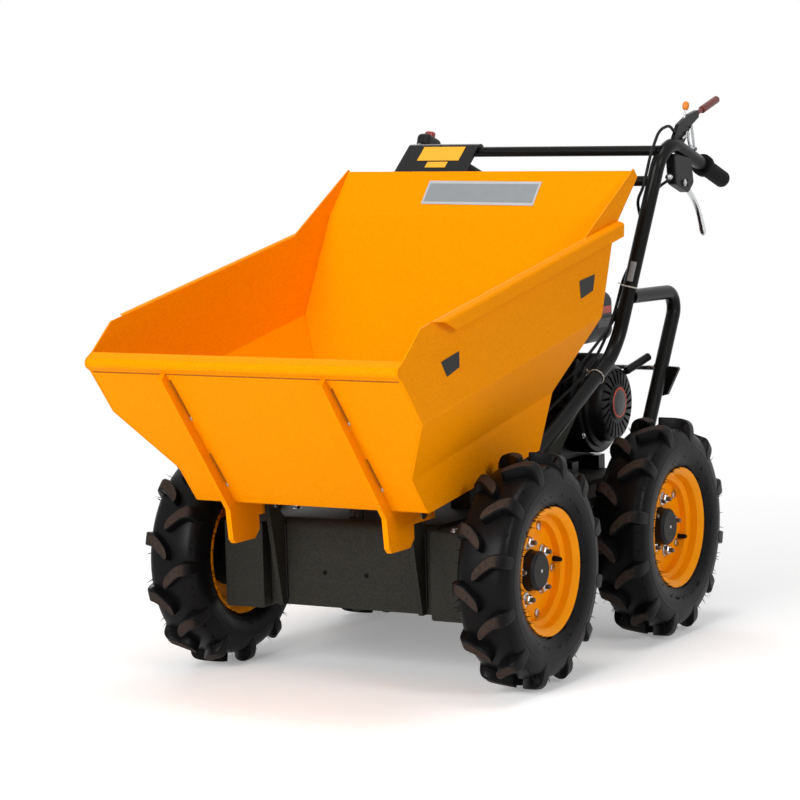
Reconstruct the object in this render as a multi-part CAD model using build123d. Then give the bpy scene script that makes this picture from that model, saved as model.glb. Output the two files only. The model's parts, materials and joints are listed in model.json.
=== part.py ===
from build123d import *
import math
import os

# Walk-behind site dumper: four driven wheels, a petrol engine behind, and a folded
# steel skip that tips forward over two pins.  Millimetres.  +Z is up, -Y is the
# dumping end, +X is the left hand of the operator, who walks behind.
#
# Everything is laid out from the front axle: y = 0 there, z = 0 on the ground.
# save() moves each piece to the row frame, whose origin is the middle of the
# footprint of the whole machine, on the ground.

# ---------------------------------------------------------------- driving sizes
WHEELBASE = 540.0
TRACK_HALF = 317.0            # tyre centre plane from the machine's centre plane
RUN_GAP = 0.05                # radial clearance of a shaft in its bearing
SEAT_GAP = 0.3                # gap of a piece that only rests on its seat

# tyre, rim and hub; dx is measured outwards from the tyre's centre plane
TYRE_RADIUS = 208.0           # to the tips of the lugs
LUG_HEIGHT = 18.0
LUG_COUNT = 12                # on each side, the two sides half a pitch apart
TYRE_HALF_WIDTH = 53.0
CROWN_HALF_WIDTH = 40.0
LUG_TOP_HALF_WIDTH = 37.0     # tread width at the lug tips
# plan of a lug: along the tread, across it from the centre plane
LUG_PLAN = [(-13.0, 2.0), (-4.0, -4.0), (8.0, 1.0), (34.0, 30.0), (36.0, 60.0), (10.0, 60.0), (8.0, 34.0)]
RIM_FLANGE_RADIUS = 115.0
RIM_SEAT_RADIUS = 103.0
RIM_WELL_RADIUS = 92.0
RIM_HALF_WIDTH = 40.0
RIM_GAUGE = 3.0
DISC_THICKNESS = 4.0
DISC_OFFSET = 2.0             # outer face of the disc
DISC_BORE_RADIUS = 37.0
HUB_CAP_RADIUS = 35.0
HUB_CAP_PROUD = 22.0          # cap end beyond the disc's outer face
HUB_FLANGE_RADIUS = 64.0
HUB_FLANGE_THICKNESS = 8.0
HUB_BARREL_RADIUS = 30.0
AXLE_RADIUS = 15.0
HOUSING_RADIUS = 36.0
HOUSING_LENGTH = 26.0
HOUSING_FLANGE_RADIUS = 50.0
HOUSING_FLANGE_THICKNESS = 6.0
HUB_TO_HOUSING = 6.0

# chain cases, the two closed beams that carry the wheels
CASE_INNER_X = 173.0
CASE_OUTER_X = 254.0
CASE_FRONT_Y = -100.0
CASE_REAR_BEYOND_AXLE = 110.0
CASE_BOTTOM_Z = 125.0
CASE_TOP_Z = 283.0
CASE_EDGE_RADIUS = 5.0

# chassis deck and front cross plate
DECK_GAUGE = 6.0
DECK_DEPTH = 48.0             # depth of the deck's folded sides
DECK_REAR_Y = 716.0
CROSS_FACE_Y = -74.0
CROSS_BOTTOM_Z = 130.0
CROSS_GAUGE = 6.0
CROSS_FOLD_RADIUS = 14.0      # inside the rearward fold along its top
CROSS_FLANGE_DEPTH = 46.0
CROSS_HOLE_SPACING = 86.0
CROSS_HOLE_Z = 192.5
CROSS_HOLE_MIDDLE_X = -15.5
CROSS_HOLE_RADIUS = 4.5

# gearbox, hung in the deck
GEARBOX_X = (-100.0, 100.0)
GEARBOX_Y = (320.0, 460.0)
GEARBOX_Z = (150.0, 395.0)
GEARBOX_FLANGE = 14.0
GEARBOX_CLEAR = 1.0
GEARBOX_EDGE_RADIUS = 18.0
OUTPUT_TUBE_RADIUS = 24.0
CLUTCH_Y = 366.0              # shaft of the clutch arm, on the gearbox's left side
CLUTCH_Z = 356.0
CLUTCH_ARM_LENGTH = 46.0

# skip hinge
PIN_Y = -105.0
PIN_Z = 318.0
PIN_RADIUS = 8.0
PIN_HEAD_RADIUS = 12.0
PIN_HEAD_LENGTH = 3.0
EAR_RADIUS = 22.0
BRACKET_INNER_X = 140.0
BRACKET_THICKNESS = 9.0
BRACKET_TOE_DEPTH = 14.0      # depth of the bracket at its bottom
TAB_INNER_X = 154.0
TAB_THICKNESS = 10.0

# skip, in folded sheet; side folds run parallel and rise towards the rear
SKIP_GAUGE = 3.0
SKIP_FOLD_RADIUS = 7.0        # inside each fold
SIDE_RISE = 10.0              # degrees
# outer face of a side: half width, height square to the side folds
SIDE_SECTION = [
    (235.0, 300.0),
    (236.0, 440.0),
    (310.0, 562.0),
    (310.0, 718.0),
]
RAIL_WIDTH = 14.0             # inverted U along the rim, outside the side sheet
RAIL_DEPTH = 22.0
RAIL_FALL = 4.0               # fall of the rail's top to the outside
RAIL_TOE = 41.0               # its outer leg ends this far behind its top, at the front
RAIL_FOLD_RADIUS = 3.0
RAIL_FRONT_Y = -300.0
RAIL_REAR_Y = 388.0
# side view (y, z) of the outer face, from the inner edge of the lip to the floor
LIP_TOP = (-417.0, 618.0)
LIP_NOSE = (-448.0, 601.0)
LIP_FOOT = (-423.0, 585.0)
FRONT_FOLD = (-214.0, 334.0)
FLOOR_REAR = (206.0, 392.0)
FRONT_PATH = [LIP_TOP, LIP_NOSE, LIP_FOOT, FRONT_FOLD, FLOOR_REAR]
SIDE_REAR_EDGE = [(261.0, 492.0), (322.0, 629.0), (370.0, 760.0), (396.0, 793.0)]
SIDE_FRONT_TOP_Y = -353.0
BACK_LEAN = 28.6              # degrees from upright
BACK_FOLD = (389.0, 808.0)
BACK_TOP = (466.0, 889.0)
WING_FRONT_Y = 255.0
WING_TOP = (469.0, 892.0)
WING_REAR = (484.0, 876.0)
# tab and rib plate under and in front of the skip
TAB_BOTTOM_Z = 262.0
TAB_FRONT_Y = -226.0
TAB_REAR_Y = -153.0
TAB_REAR_STEP = (-138.0, 276.0)
TAB_NECK_Z = 302.0
TAB_TAIL_Y = -62.0
RIB_DEPTH = 16.0
REST_Y = 150.0
REST_X = 110.0
REST_SIZE = 40.0

# engine: single cylinder, crankshaft along X, recoil starter on the left
CRANK_Y = 662.0
CRANK_Z = 425.0
ENGINE_BASE_Z = 318.0
SHROUD_RADIUS = 98.0
SHROUD_INNER_X = 88.0
SHROUD_OUTER_X = 140.0
RECOIL_RADIUS = 78.0
RECOIL_FACE_X = 176.0
RECOIL_SLOTS = 24
RECOIL_SLOT_SPAN = (38.0, 69.0)         # radii
RECOIL_SLOT_WIDTH = 5.0
RECOIL_SLOT_DEPTH = 8.0
RECOIL_SLOT_SWEEP = 14.0                # degrees
RECOIL_BOSS_RADIUS = 33.0
GRIP_CENTRE = Vector(185, CRANK_Y + 73, CRANK_Z + 72)
GRIP_REACH = Vector(25, 55, 25)         # direction and length of the pull grip
ROPE_EXIT = Vector(158, CRANK_Y + 48, CRANK_Z + 50)
CYLINDER_TILT = 25.0
DUCT_REACH = 120.0                      # from the crankshaft, along the cylinder
DUCT_HALF_HEIGHT = 50.0
CASE_HALF_LENGTH = 76.0                 # crankcase, along Y
CASE_RISE = 72.0                        # crankcase above the crankshaft
COVER_X = (-160.0, -130.0)              # belt cover
SHAFT_RADIUS = 10.0

# tank and the pieces over the cylinder, all placed from the crankshaft
TANK_X = (-105.0, 125.0)
TANK_Y = (CRANK_Y - 97.0, CRANK_Y + 103.0)
TANK_Z = (CRANK_Z + 115.0, CRANK_Z + 215.0)
TANK_EDGE_RADIUS = 24.0
TANK_SEAM_WIDTH = 5.0
CAP_X = -20.0
CAP_RADIUS = 28.0
CAP_HEIGHT = 18.0
CAP_FLUTES = 14
FILTER_X = (54.0, 130.0)
FILTER_Y = (CRANK_Y - 226.0, CRANK_Y - 130.0)
FILTER_Z = (CRANK_Z + 67.0, CRANK_Z + 151.0)
MUFFLER_X = (-125.0, -10.0)
MUFFLER_Y = (CRANK_Y - 222.0, CRANK_Y - 114.0)
MUFFLER_Z = (CRANK_Z + 131.0, CRANK_Z + 203.0)

# handlebars
HANDLE_RADIUS = 14.0
HANDLE_POINTS = [             # x, y, z of the left one
    (200.0, 250.0, 371.5),
    (200.0, 603.0, 532.0),
    (275.0, 680.0, 944.0),
    (275.0, 954.0, 850.0),
]
HANDLE_BENDS = [110.0, 55.0]
GRIP_LENGTH = 104.0
GRIP_RADIUS = 17.0
GRIP_COLLAR_RADIUS = 22.0
GRIP_COLLAR_LENGTH = 14.0
CROSS_TUBE_RADIUS = 10.0
UPPER_CROSS_Z = 918.0
LOWER_CROSS_Z = 860.0
UPRIGHT_THICKNESS = 6.0

# rear guard bars
GUARD_RADIUS = 14.0
GUARD_X = 225.0
GUARD_POINTS = [(626.0, 639.0), (845.0, 633.0), (636.0, 283.0)]   # y, z
GUARD_BEND = 32.0
GUARD_ROD_RADIUS = 5.0
GUARD_ROD_Z = 487.0
GUARD_PLATE_Z = (434.0, 491.0)
GUARD_PLATE_X = (216.0, 236.0, 263.0)   # inner corner, foot and outer corner

# controls: outlines in side view (y, z), under and over the left handle's bend
HOUSING_OUTLINE = [(706.0, 912.0), (712.0, 852.0), (772.0, 832.0), (796.0, 850.0), (786.0, 900.0)]
HOUSING_THICKNESS = 20.0
LEVER_LINE = [(772.0, 846.0), (812.0, 820.0), (846.0, 780.0), (862.0, 736.0)]
LEVER_THICKNESS = 8.0
LEVER_WIDTH = 14.0
LEVER_FOLD_RADIUS = 14.0
DRIVE_BRACKET_OUTLINE = [(716.0, 936.0), (760.0, 925.0), (800.0, 962.0), (838.0, 978.0),
                         (834.0, 992.0), (790.0, 984.0), (742.0, 966.0)]
DRIVE_BRACKET_THICKNESS = 8.0
DRIVE_GRIP_LINE = [(835.0, 985.0), (932.0, 1010.0)]
DRIVE_GRIP_RADIUS = 7.5
THROTTLE_FOOT = (775.0, 976.0)
THROTTLE_TOP = (784.0, 1002.0)
THROTTLE_KNOB_RADIUS = 6.5
STOP_KNOB_RADIUS = 11.0
STOP_BODY_Y = 733.0                     # on the right handle, behind its bend
STOP_BODY_SIZE = (30.0, 60.0, 46.0)
CABLE_RADIUS = 3.0
CABLE_GAP = 0.6                         # between a cable and the tube that it lies on

# console sheet over the right end of the upper cross tube
CONSOLE_X = (-282.0, -123.0)
CONSOLE_GAUGE = 6.0
CONSOLE_SLOPE = 38.0
CONSOLE_LENGTH = 92.0


# ---------------------------------------------------------------- helpers
def mirrored(shape):
    """The right-hand copy of a left-hand piece."""
    return shape.mirror(Plane.YZ)


def side_plate(points, x_low, x_high):
    """Plate with an outline in side view (y, z), between two x stations."""
    face = make_face(Polyline([(x_low, y, z) for y, z in points], close=True))
    return extrude(face, amount=x_high - x_low, dir=(1, 0, 0))


def offset_path(path, gauge):
    """Parallel of an open 2-D path, gauge to the left of its travel, with mitred corners."""
    normals = []
    for (a, b), (c, d) in zip(path, path[1:]):
        length = math.hypot(c - a, d - b)
        normals.append((-(d - b) / length, (c - a) / length))
    parallel = []
    for i, (u, v) in enumerate(path):
        before = normals[max(i - 1, 0)]
        after = normals[min(i, len(normals) - 1)]
        share = gauge / (1 + before[0] * after[0] + before[1] * after[1])
        parallel.append((u + share * (before[0] + after[0]), v + share * (before[1] + after[1])))
    return parallel


def folded_outline(path, gauge):
    """Closed outline of a folded sheet whose one face is the path."""
    return path + offset_path(path, gauge)[::-1]


def bent_line(points, bends):
    """Line through the points, rounded at each inner one by its bend radius."""
    return FilletPolyline(*points, radius=bends) if bends else Polyline(*points)


def fold_bends(path, gauge, inside=SKIP_FOLD_RADIUS):
    """Bend radii along a folded sheet's path, and along its parallel."""
    own, parallel = [], []
    for (a, b), (c, d), (e, f) in zip(path, path[1:], path[2:]):
        turn = (c - a) * (f - d) - (d - b) * (e - c)
        outer = inside + abs(gauge)
        own.append(outer if turn * gauge > 0 else inside)
        parallel.append(inside if turn * gauge > 0 else outer)
    return own, parallel


def folded_face(path, gauge, place, inside=SKIP_FOLD_RADIUS):
    """Section of a sheet with rounded folds; place puts a point of the path in space."""
    own, parallel = fold_bends(path, gauge, inside)
    near = [place(point) for point in path]
    far = [place(point) for point in offset_path(path, gauge)]
    sides = bent_line(near, own).edges() + bent_line(far, parallel).edges()
    return make_face(sides + [Line(near[0], far[0]), Line(near[-1], far[-1])])


def folded_plate(path, gauge, x_low, x_high, inside=SKIP_FOLD_RADIUS):
    """Folded sheet whose path is a side view (y, z), between two x stations."""
    face = folded_face(path, gauge, lambda point: (x_low, *point), inside)
    return extrude(face, amount=x_high - x_low, dir=(1, 0, 0))


def rounded_plate(points, x_low, x_high, radius):
    """Side plate with its outline's corners rounded."""
    plate = side_plate(points, x_low, x_high)
    return fillet(plate.edges().filter_by(Axis.X), radius)


def x_cylinder(radius, x_low, x_high, y, z):
    """Round bar along X."""
    return Pos((x_low + x_high) / 2, y, z) * Rot(0, 90, 0) * Cylinder(radius, x_high - x_low)


def x_revolve(profile, x, y, z):
    """Solid of revolution about an X axis; the profile lists (dx, radius)."""
    face = make_face(Polyline([(dx, 0, r) for dx, r in profile], close=True))
    return Pos(x, y, z) * revolve(face, axis=Axis.X)


def round_tube(points, bends, radius):
    """Tube along straight runs joined by tangent bends."""
    path = FilletPolyline(*points, radius=bends)
    section = Plane(origin=path @ 0, z_dir=path % 0) * Circle(radius)
    return sweep(section, path=path)


def block(x_span, y_span, z_span):
    """Rectangular block between low and high values on each axis."""
    size = [high - low for low, high in (x_span, y_span, z_span)]
    middle = [(high + low) / 2 for low, high in (x_span, y_span, z_span)]
    return Pos(*middle) * Box(*size)


# ---------------------------------------------------------------- row frame
GRIP_DIRECTION = Vector(HANDLE_POINTS[3]) - Vector(HANDLE_POINTS[2])
GRIP_DIRECTION = GRIP_DIRECTION.normalized()
GRIP_END = Vector(HANDLE_POINTS[3])
REAR_END_Y = GRIP_END.Y + GRIP_RADIUS * abs(GRIP_DIRECTION.Z)
FRONT_EDGE = bent_line([(0, *point) for point in FRONT_PATH], fold_bends(FRONT_PATH, SKIP_GAUGE)[0])
ORIGIN_Y = (FRONT_EDGE.bounding_box().min.Y + REAR_END_Y) / 2

os.makedirs("parts", exist_ok=True)


def save(node, *pieces):
    """Write a node's solids, moved to the row frame."""
    solids = [solid for piece in pieces for solid in piece.moved(Location((0, -ORIGIN_Y, 0))).solids()]
    shape = solids[0] if len(solids) == 1 else Compound(children=solids)
    export_step(shape, f"parts/{node}.step")


# ---------------------------------------------------------------- wheels
def rim_path():
    """Half section of the rim's tyre side, from the inner to the outer flange (dx, radius)."""
    half = [
        (RIM_HALF_WIDTH, RIM_FLANGE_RADIUS),
        (RIM_HALF_WIDTH - 3, RIM_SEAT_RADIUS + 4),
        (RIM_HALF_WIDTH - 7, RIM_SEAT_RADIUS),
        (RIM_HALF_WIDTH - 22, RIM_SEAT_RADIUS - 1),
        (RIM_HALF_WIDTH - 26, RIM_WELL_RADIUS),
    ]
    return [(-dx, r) for dx, r in half] + half[::-1]


def tyre_carcass():
    """Carcass out to the foot of the lugs, about the X axis."""
    crown = TYRE_RADIUS - LUG_HEIGHT
    half = [
        (RIM_HALF_WIDTH - 22, RIM_SEAT_RADIUS - 1),
        (RIM_HALF_WIDTH - 7, RIM_SEAT_RADIUS),
        (RIM_HALF_WIDTH - 3, RIM_SEAT_RADIUS + 4),
        (RIM_HALF_WIDTH, RIM_FLANGE_RADIUS),
        (TYRE_HALF_WIDTH - 4, RIM_FLANGE_RADIUS + 14),
        (TYRE_HALF_WIDTH, RIM_FLANGE_RADIUS + 35),
        (TYRE_HALF_WIDTH - 3, crown - 16),
        (CROWN_HALF_WIDTH, crown - 4),
        (CROWN_HALF_WIDTH - 18, crown),
    ]
    return x_revolve(half + [(-dx, r) for dx, r in half[::-1]], 0, 0, 0)


def tread_envelope():
    """Space that the lugs fill, from the shoulders to their tips."""
    half = [
        (TYRE_HALF_WIDTH - 0.5, TYRE_RADIUS - 43),
        (TYRE_HALF_WIDTH - 0.7, TYRE_RADIUS - 26),
        (TYRE_HALF_WIDTH - 6, TYRE_RADIUS - 8),
        (LUG_TOP_HALF_WIDTH, TYRE_RADIUS),
    ]
    return x_revolve(half + [(-dx, r) for dx, r in half[::-1]], 0, 0, 0)


def lug(side, angle):
    """One lug, a bar that runs from the centre line back over one shoulder."""
    outline = [(side * across, along, TYRE_RADIUS + 5) for along, across in LUG_PLAN]
    bar = extrude(make_face(Polyline(outline, close=True)), amount=46, dir=(0, 0, -1))
    return Rot(angle, 0, 0) * bar


def lugged_tyre():
    """Tyre about the X axis, its lugs in two rows that meet as arrows."""
    pitch = 360 / LUG_COUNT
    envelope = tread_envelope()
    lugs = [
        lug(side, pitch * (i - side / 4)) & envelope
        for i in range(LUG_COUNT)
        for side in (1, -1)
    ]
    return tyre_carcass() + lugs


def rim(side, x, y):
    """Pressed rim with its centre disc."""
    barrel = x_revolve(folded_outline(rim_path(), -RIM_GAUGE), x, y, TYRE_RADIUS)
    disc_outer = RIM_WELL_RADIUS - RIM_GAUGE
    disc = [
        (DISC_OFFSET - DISC_THICKNESS, DISC_BORE_RADIUS),
        (DISC_OFFSET - DISC_THICKNESS, disc_outer),
        (DISC_OFFSET, disc_outer),
        (DISC_OFFSET, DISC_BORE_RADIUS),
    ]
    return barrel + x_revolve([(side * dx, r) for dx, r in disc], x, y, TYRE_RADIUS)


def hub(side, x, y):
    """Hub flange, cap and axle shaft in one piece."""
    flange = DISC_OFFSET - DISC_THICKNESS
    back = flange - HUB_FLANGE_THICKNESS
    housing_end = CASE_OUTER_X + HOUSING_LENGTH - TRACK_HALF
    shaft_end = CASE_OUTER_X - TRACK_HALF + 2
    cap_end = DISC_OFFSET + HUB_CAP_PROUD
    profile = [
        (shaft_end, 0),
        (shaft_end, AXLE_RADIUS),
        (housing_end + HUB_TO_HOUSING, AXLE_RADIUS),
        (housing_end + HUB_TO_HOUSING, HUB_BARREL_RADIUS),
        (back, HUB_BARREL_RADIUS),
        (back, HUB_FLANGE_RADIUS),
        (flange, HUB_FLANGE_RADIUS),
        (flange, HUB_CAP_RADIUS),
        (cap_end - 5, HUB_CAP_RADIUS),
        (cap_end, HUB_CAP_RADIUS - 6),
        (cap_end, 0),
    ]
    return x_revolve([(side * dx, r) for dx, r in profile], x, y, TYRE_RADIUS)


def bearing_housing(y):
    """Left-hand bearing housing, seated on the chain case's outer face."""
    bore = AXLE_RADIUS + RUN_GAP
    profile = [
        (0, bore),
        (0, HOUSING_FLANGE_RADIUS),
        (HOUSING_FLANGE_THICKNESS, HOUSING_FLANGE_RADIUS),
        (HOUSING_FLANGE_THICKNESS, HOUSING_RADIUS),
        (HOUSING_LENGTH, HOUSING_RADIUS),
        (HOUSING_LENGTH, bore),
    ]
    return x_revolve(profile, CASE_OUTER_X, y, TYRE_RADIUS)


WHEELS = [                    # name, side (+1 left), y of the axle
    ("front_left", 1, 0.0),
    ("front_right", -1, 0.0),
    ("rear_left", 1, WHEELBASE),
    ("rear_right", -1, WHEELBASE),
]

tyre = lugged_tyre()
for name, side, axle_y in WHEELS:
    centre_x = side * TRACK_HALF
    save(f"{name}_tyre", Pos(centre_x, axle_y, TYRE_RADIUS) * tyre)
    save(f"{name}_rim", rim(side, centre_x, axle_y))
    save(f"{name}_hub", hub(side, centre_x, axle_y))

left_housings = [bearing_housing(axle_y) for axle_y in (0.0, WHEELBASE)]
save("bearing_housings", *left_housings, *[mirrored(piece) for piece in left_housings])


# ---------------------------------------------------------------- chassis
def chain_case():
    """Left chain case: a closed beam between the two axles."""
    rear = WHEELBASE + CASE_REAR_BEYOND_AXLE
    body = block((CASE_INNER_X, CASE_OUTER_X), (CASE_FRONT_Y, rear), (CASE_BOTTOM_Z, CASE_TOP_Z))
    return fillet(body.edges().filter_by(Axis.Y), CASE_EDGE_RADIUS)


def chassis_deck():
    """Deck between the chain cases, with folded sides and an opening for the gearbox."""
    top = CASE_TOP_Z + DECK_GAUGE
    front = CROSS_FACE_Y + CROSS_FLANGE_DEPTH
    deck = block((-CASE_INNER_X, CASE_INNER_X), (front, DECK_REAR_Y), (top - DECK_DEPTH, top))
    inside = CASE_INNER_X - DECK_GAUGE
    deck -= block((-inside, inside), (front - 1, DECK_REAR_Y - DECK_GAUGE), (0, top - DECK_GAUGE))
    deck -= block(GEARBOX_X, GEARBOX_Y, (0, top + 1))
    return deck


def gearbox():
    """Gearbox hung in the deck by its flange, with an output tube to each chain case."""
    top = CASE_TOP_Z + DECK_GAUGE
    x_low, x_high = GEARBOX_X[0] + GEARBOX_CLEAR, GEARBOX_X[1] - GEARBOX_CLEAR
    y_low, y_high = GEARBOX_Y[0] + GEARBOX_CLEAR, GEARBOX_Y[1] - GEARBOX_CLEAR
    body = block((x_low, x_high), (y_low, y_high), GEARBOX_Z)
    body = fillet(body.edges().filter_by(Axis.X), GEARBOX_EDGE_RADIUS)
    flange = block(
        (x_low - GEARBOX_FLANGE, x_high + GEARBOX_FLANGE),
        (y_low - GEARBOX_FLANGE, y_high + GEARBOX_FLANGE),
        (top, top + DECK_GAUGE),
    )
    flange = fillet(flange.edges().filter_by(Axis.Z), GEARBOX_FLANGE / 2)
    middle_y = (y_low + y_high) / 2
    tube = x_cylinder(OUTPUT_TUBE_RADIUS, -CASE_INNER_X, CASE_INNER_X, middle_y, TYRE_RADIUS)
    # split line of the two castings, and the ribs round the output tubes
    seam = block((-3, 3), (y_low - 4, y_high + 4), (GEARBOX_Z[0] + 20, CASE_TOP_Z - 1))
    body += [flange, tube, seam]
    for side in (-1, 1):
        ends = sorted((side * x_high, side * (x_high + 12)))
        body += x_cylinder(OUTPUT_TUBE_RADIUS + 10, *ends, middle_y, TYRE_RADIUS)
    return body + clutch_arm(x_high)


def clutch_arm(x_seat):
    """Clutch shaft on the gearbox's left side, with the arm that its cable pulls."""
    boss = x_cylinder(11, x_seat - 1, x_seat + 10, CLUTCH_Y, CLUTCH_Z)
    tip_z = CLUTCH_Z + CLUTCH_ARM_LENGTH
    arm = rounded_plate(
        [
            (CLUTCH_Y - 8, CLUTCH_Z - 8),
            (CLUTCH_Y + 8, CLUTCH_Z - 8),
            (CLUTCH_Y + 6, tip_z),
            (CLUTCH_Y - 6, tip_z),
        ],
        x_seat + 10,
        x_seat + 14,
        4,
    )
    return boss + arm


def cross_plate():
    """Front cross plate, folded back at its top to meet the deck, with two bolt holes."""
    top = CASE_TOP_Z + DECK_GAUGE
    path = [
        (CROSS_FACE_Y, CROSS_BOTTOM_Z),
        (CROSS_FACE_Y, top),
        (CROSS_FACE_Y + CROSS_FLANGE_DEPTH, top),
    ]
    plate = folded_plate(path, -CROSS_GAUGE, -CASE_INNER_X, CASE_INNER_X, CROSS_FOLD_RADIUS)
    for side in (-1, 1):
        x = CROSS_HOLE_MIDDLE_X + side * CROSS_HOLE_SPACING / 2
        hole = Pos(x, CROSS_FACE_Y, CROSS_HOLE_Z) * Rot(90, 0, 0)
        plate -= hole * Cylinder(CROSS_HOLE_RADIUS, 4 * CROSS_GAUGE)
    return plate


def hinge_bracket():
    """Left hinge bracket: a gusset on the cross plate with an ear round the pin."""
    x_low, x_high = BRACKET_INNER_X, BRACKET_INNER_X + BRACKET_THICKNESS
    outline = [
        (CROSS_FACE_Y, CROSS_BOTTOM_Z),
        (CROSS_FACE_Y - BRACKET_TOE_DEPTH, CROSS_BOTTOM_Z),
        (PIN_Y - EAR_RADIUS, PIN_Z - 4),
        (PIN_Y, PIN_Z),
        (CROSS_FACE_Y, CASE_TOP_Z + DECK_GAUGE),
    ]
    ear = x_cylinder(EAR_RADIUS, x_low, x_high, PIN_Y, PIN_Z)
    bracket = side_plate(outline, x_low, x_high) + ear
    return bracket - x_cylinder(PIN_RADIUS + RUN_GAP, x_low - 1, x_high + 1, PIN_Y, PIN_Z)


def hinge_pin():
    """Left hinge pin, fixed in the skip's tab and turning in the bracket."""
    x_low = BRACKET_INNER_X - 4
    x_high = TAB_INNER_X + TAB_THICKNESS
    pin = x_cylinder(PIN_RADIUS, x_low, x_high, PIN_Y, PIN_Z)
    head = x_cylinder(PIN_HEAD_RADIUS, x_high, x_high + PIN_HEAD_LENGTH, PIN_Y, PIN_Z)
    return pin + head


def skip_rest():
    """Left rubber-topped stop on the deck, under the skip's floor."""
    slope = (FLOOR_REAR[1] - FRONT_FOLD[1]) / (FLOOR_REAR[0] - FRONT_FOLD[0])
    y_low, y_high = REST_Y - REST_SIZE / 2, REST_Y + REST_SIZE / 2
    floor_z = [FRONT_FOLD[1] + slope * (y - FRONT_FOLD[0]) - SEAT_GAP for y in (y_low, y_high)]
    base = CASE_TOP_Z + DECK_GAUGE
    outline = [(y_low, base), (y_high, base), (y_high, floor_z[1]), (y_low, floor_z[0])]
    return side_plate(outline, REST_X - REST_SIZE / 2, REST_X + REST_SIZE / 2)


case = chain_case()
save("left_chain_case", case)
save("right_chain_case", mirrored(case))
save("chassis_deck", chassis_deck())
save("gearbox", gearbox())
save("front_cross_plate", cross_plate())
bracket = hinge_bracket()
save("hinge_brackets", bracket, mirrored(bracket))
pin = hinge_pin()
save("hinge_pins", pin, mirrored(pin))
rest = skip_rest()
save("skip_rests", rest, mirrored(rest))


# ---------------------------------------------------------------- skip
RISE_COS = math.cos(math.radians(SIDE_RISE))
RISE_SIN = math.sin(math.radians(SIDE_RISE))
FOLD_PLANE = Plane(origin=(0, 0, 0), x_dir=(1, 0, 0), z_dir=(0, -RISE_COS, -RISE_SIN))
SKIP_REACH = 1200.0           # longer than the skip, for prisms that are trimmed


def on_folds(point):
    """Place of a point (x, height square to the side folds) in space."""
    return FOLD_PLANE.from_local_coords((*point, 0))


def along_folds(face):
    """Prism of a section along the side folds."""
    return extrude(face, amount=SKIP_REACH, dir=FOLD_PLANE.z_dir, both=True)


def rim_z(y, height):
    """Height above ground of the fold line at a given height square to the folds."""
    return (height + y * RISE_SIN) / RISE_COS


def side_outline():
    """Side view of a side sheet, its front and foot folded as the front and floor are."""
    top = SIDE_SECTION[-1][1] + SKIP_GAUGE
    front_top = (SIDE_FRONT_TOP_Y, rim_z(SIDE_FRONT_TOP_Y, top))
    rear_top = (SIDE_REAR_EDGE[-1][0], rim_z(SIDE_REAR_EDGE[-1][0], top) + 1)
    rear = [FLOOR_REAR] + SIDE_REAR_EDGE[:-1] + [rear_top, front_top, LIP_TOP]
    return make_face(FRONT_EDGE.edges() + Polyline([(0, *point) for point in rear]).edges())


def rail_end():
    """Slanted plane that ends the rail at its front, from the rim out and down its outer leg."""
    top_x, top_height = SIDE_SECTION[-1]
    outside = top_x + RAIL_WIDTH + SKIP_GAUGE
    inner_y, toe_y = RAIL_FRONT_Y - RAIL_WIDTH * 1.5, RAIL_FRONT_Y + RAIL_TOE
    inner = Vector(top_x, inner_y, rim_z(inner_y, top_height))
    outer = Vector(outside, RAIL_FRONT_Y, rim_z(RAIL_FRONT_Y, top_height - RAIL_FALL))
    toe = Vector(outside, toe_y, rim_z(toe_y, top_height - RAIL_FALL - RAIL_DEPTH))
    square = (outer - inner).cross(toe - outer)
    return Plane(origin=outer, z_dir=square if square.Y > 0 else square * -1)


def skip_side():
    """Left side sheet with the rail along its rim and the wing beside the back sheet."""
    top_x, top_height = SIDE_SECTION[-1]
    sheet = along_folds(folded_face(SIDE_SECTION, SKIP_GAUGE, on_folds))
    rail_path = [
        (top_x, top_height - RAIL_DEPTH),
        (top_x, top_height),
        (top_x + RAIL_WIDTH, top_height - RAIL_FALL),
        (top_x + RAIL_WIDTH - 1, top_height - RAIL_FALL - RAIL_DEPTH),
    ]
    rail = along_folds(folded_face(rail_path, SKIP_GAUGE, on_folds, RAIL_FOLD_RADIUS))
    rail &= block((0, SKIP_REACH), (RAIL_FRONT_Y - 2 * RAIL_WIDTH, RAIL_REAR_Y), (0, SKIP_REACH))
    rail = split(rail, bisect_by=rail_end(), keep=Keep.TOP)
    sheet &= extrude(side_outline(), amount=top_x + 1, dir=(1, 0, 0))
    wing = side_plate(
        [
            (WING_FRONT_Y, rim_z(WING_FRONT_Y, top_height)),
            WING_TOP,
            WING_REAR,
            (SIDE_REAR_EDGE[-1][0], rim_z(SIDE_REAR_EDGE[-1][0], top_height)),
        ],
        top_x - SKIP_GAUGE,
        top_x,
    )
    return sheet + rail + wing


def skip_inside():
    """Space between the side sheets, which trims the front, floor and back sheets."""
    section = SIDE_SECTION[:-1] + [(SIDE_SECTION[-1][0], SKIP_REACH)]
    _, bends = fold_bends(section, SKIP_GAUGE)
    left = [on_folds(point) for point in offset_path(section, SKIP_GAUGE)]
    right = [Vector(-point.X, point.Y, point.Z) for point in left]
    sides = bent_line(left, bends).edges() + bent_line(right, bends).edges()
    return along_folds(make_face(sides + [Line(left[0], right[0]), Line(left[-1], right[-1])]))


def skip_front_floor():
    """Front sheet, with its lip, and floor, folded in one."""
    width = SIDE_SECTION[-1][0]
    return folded_plate(FRONT_PATH, SKIP_GAUGE, -width, width) & skip_inside()


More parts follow.
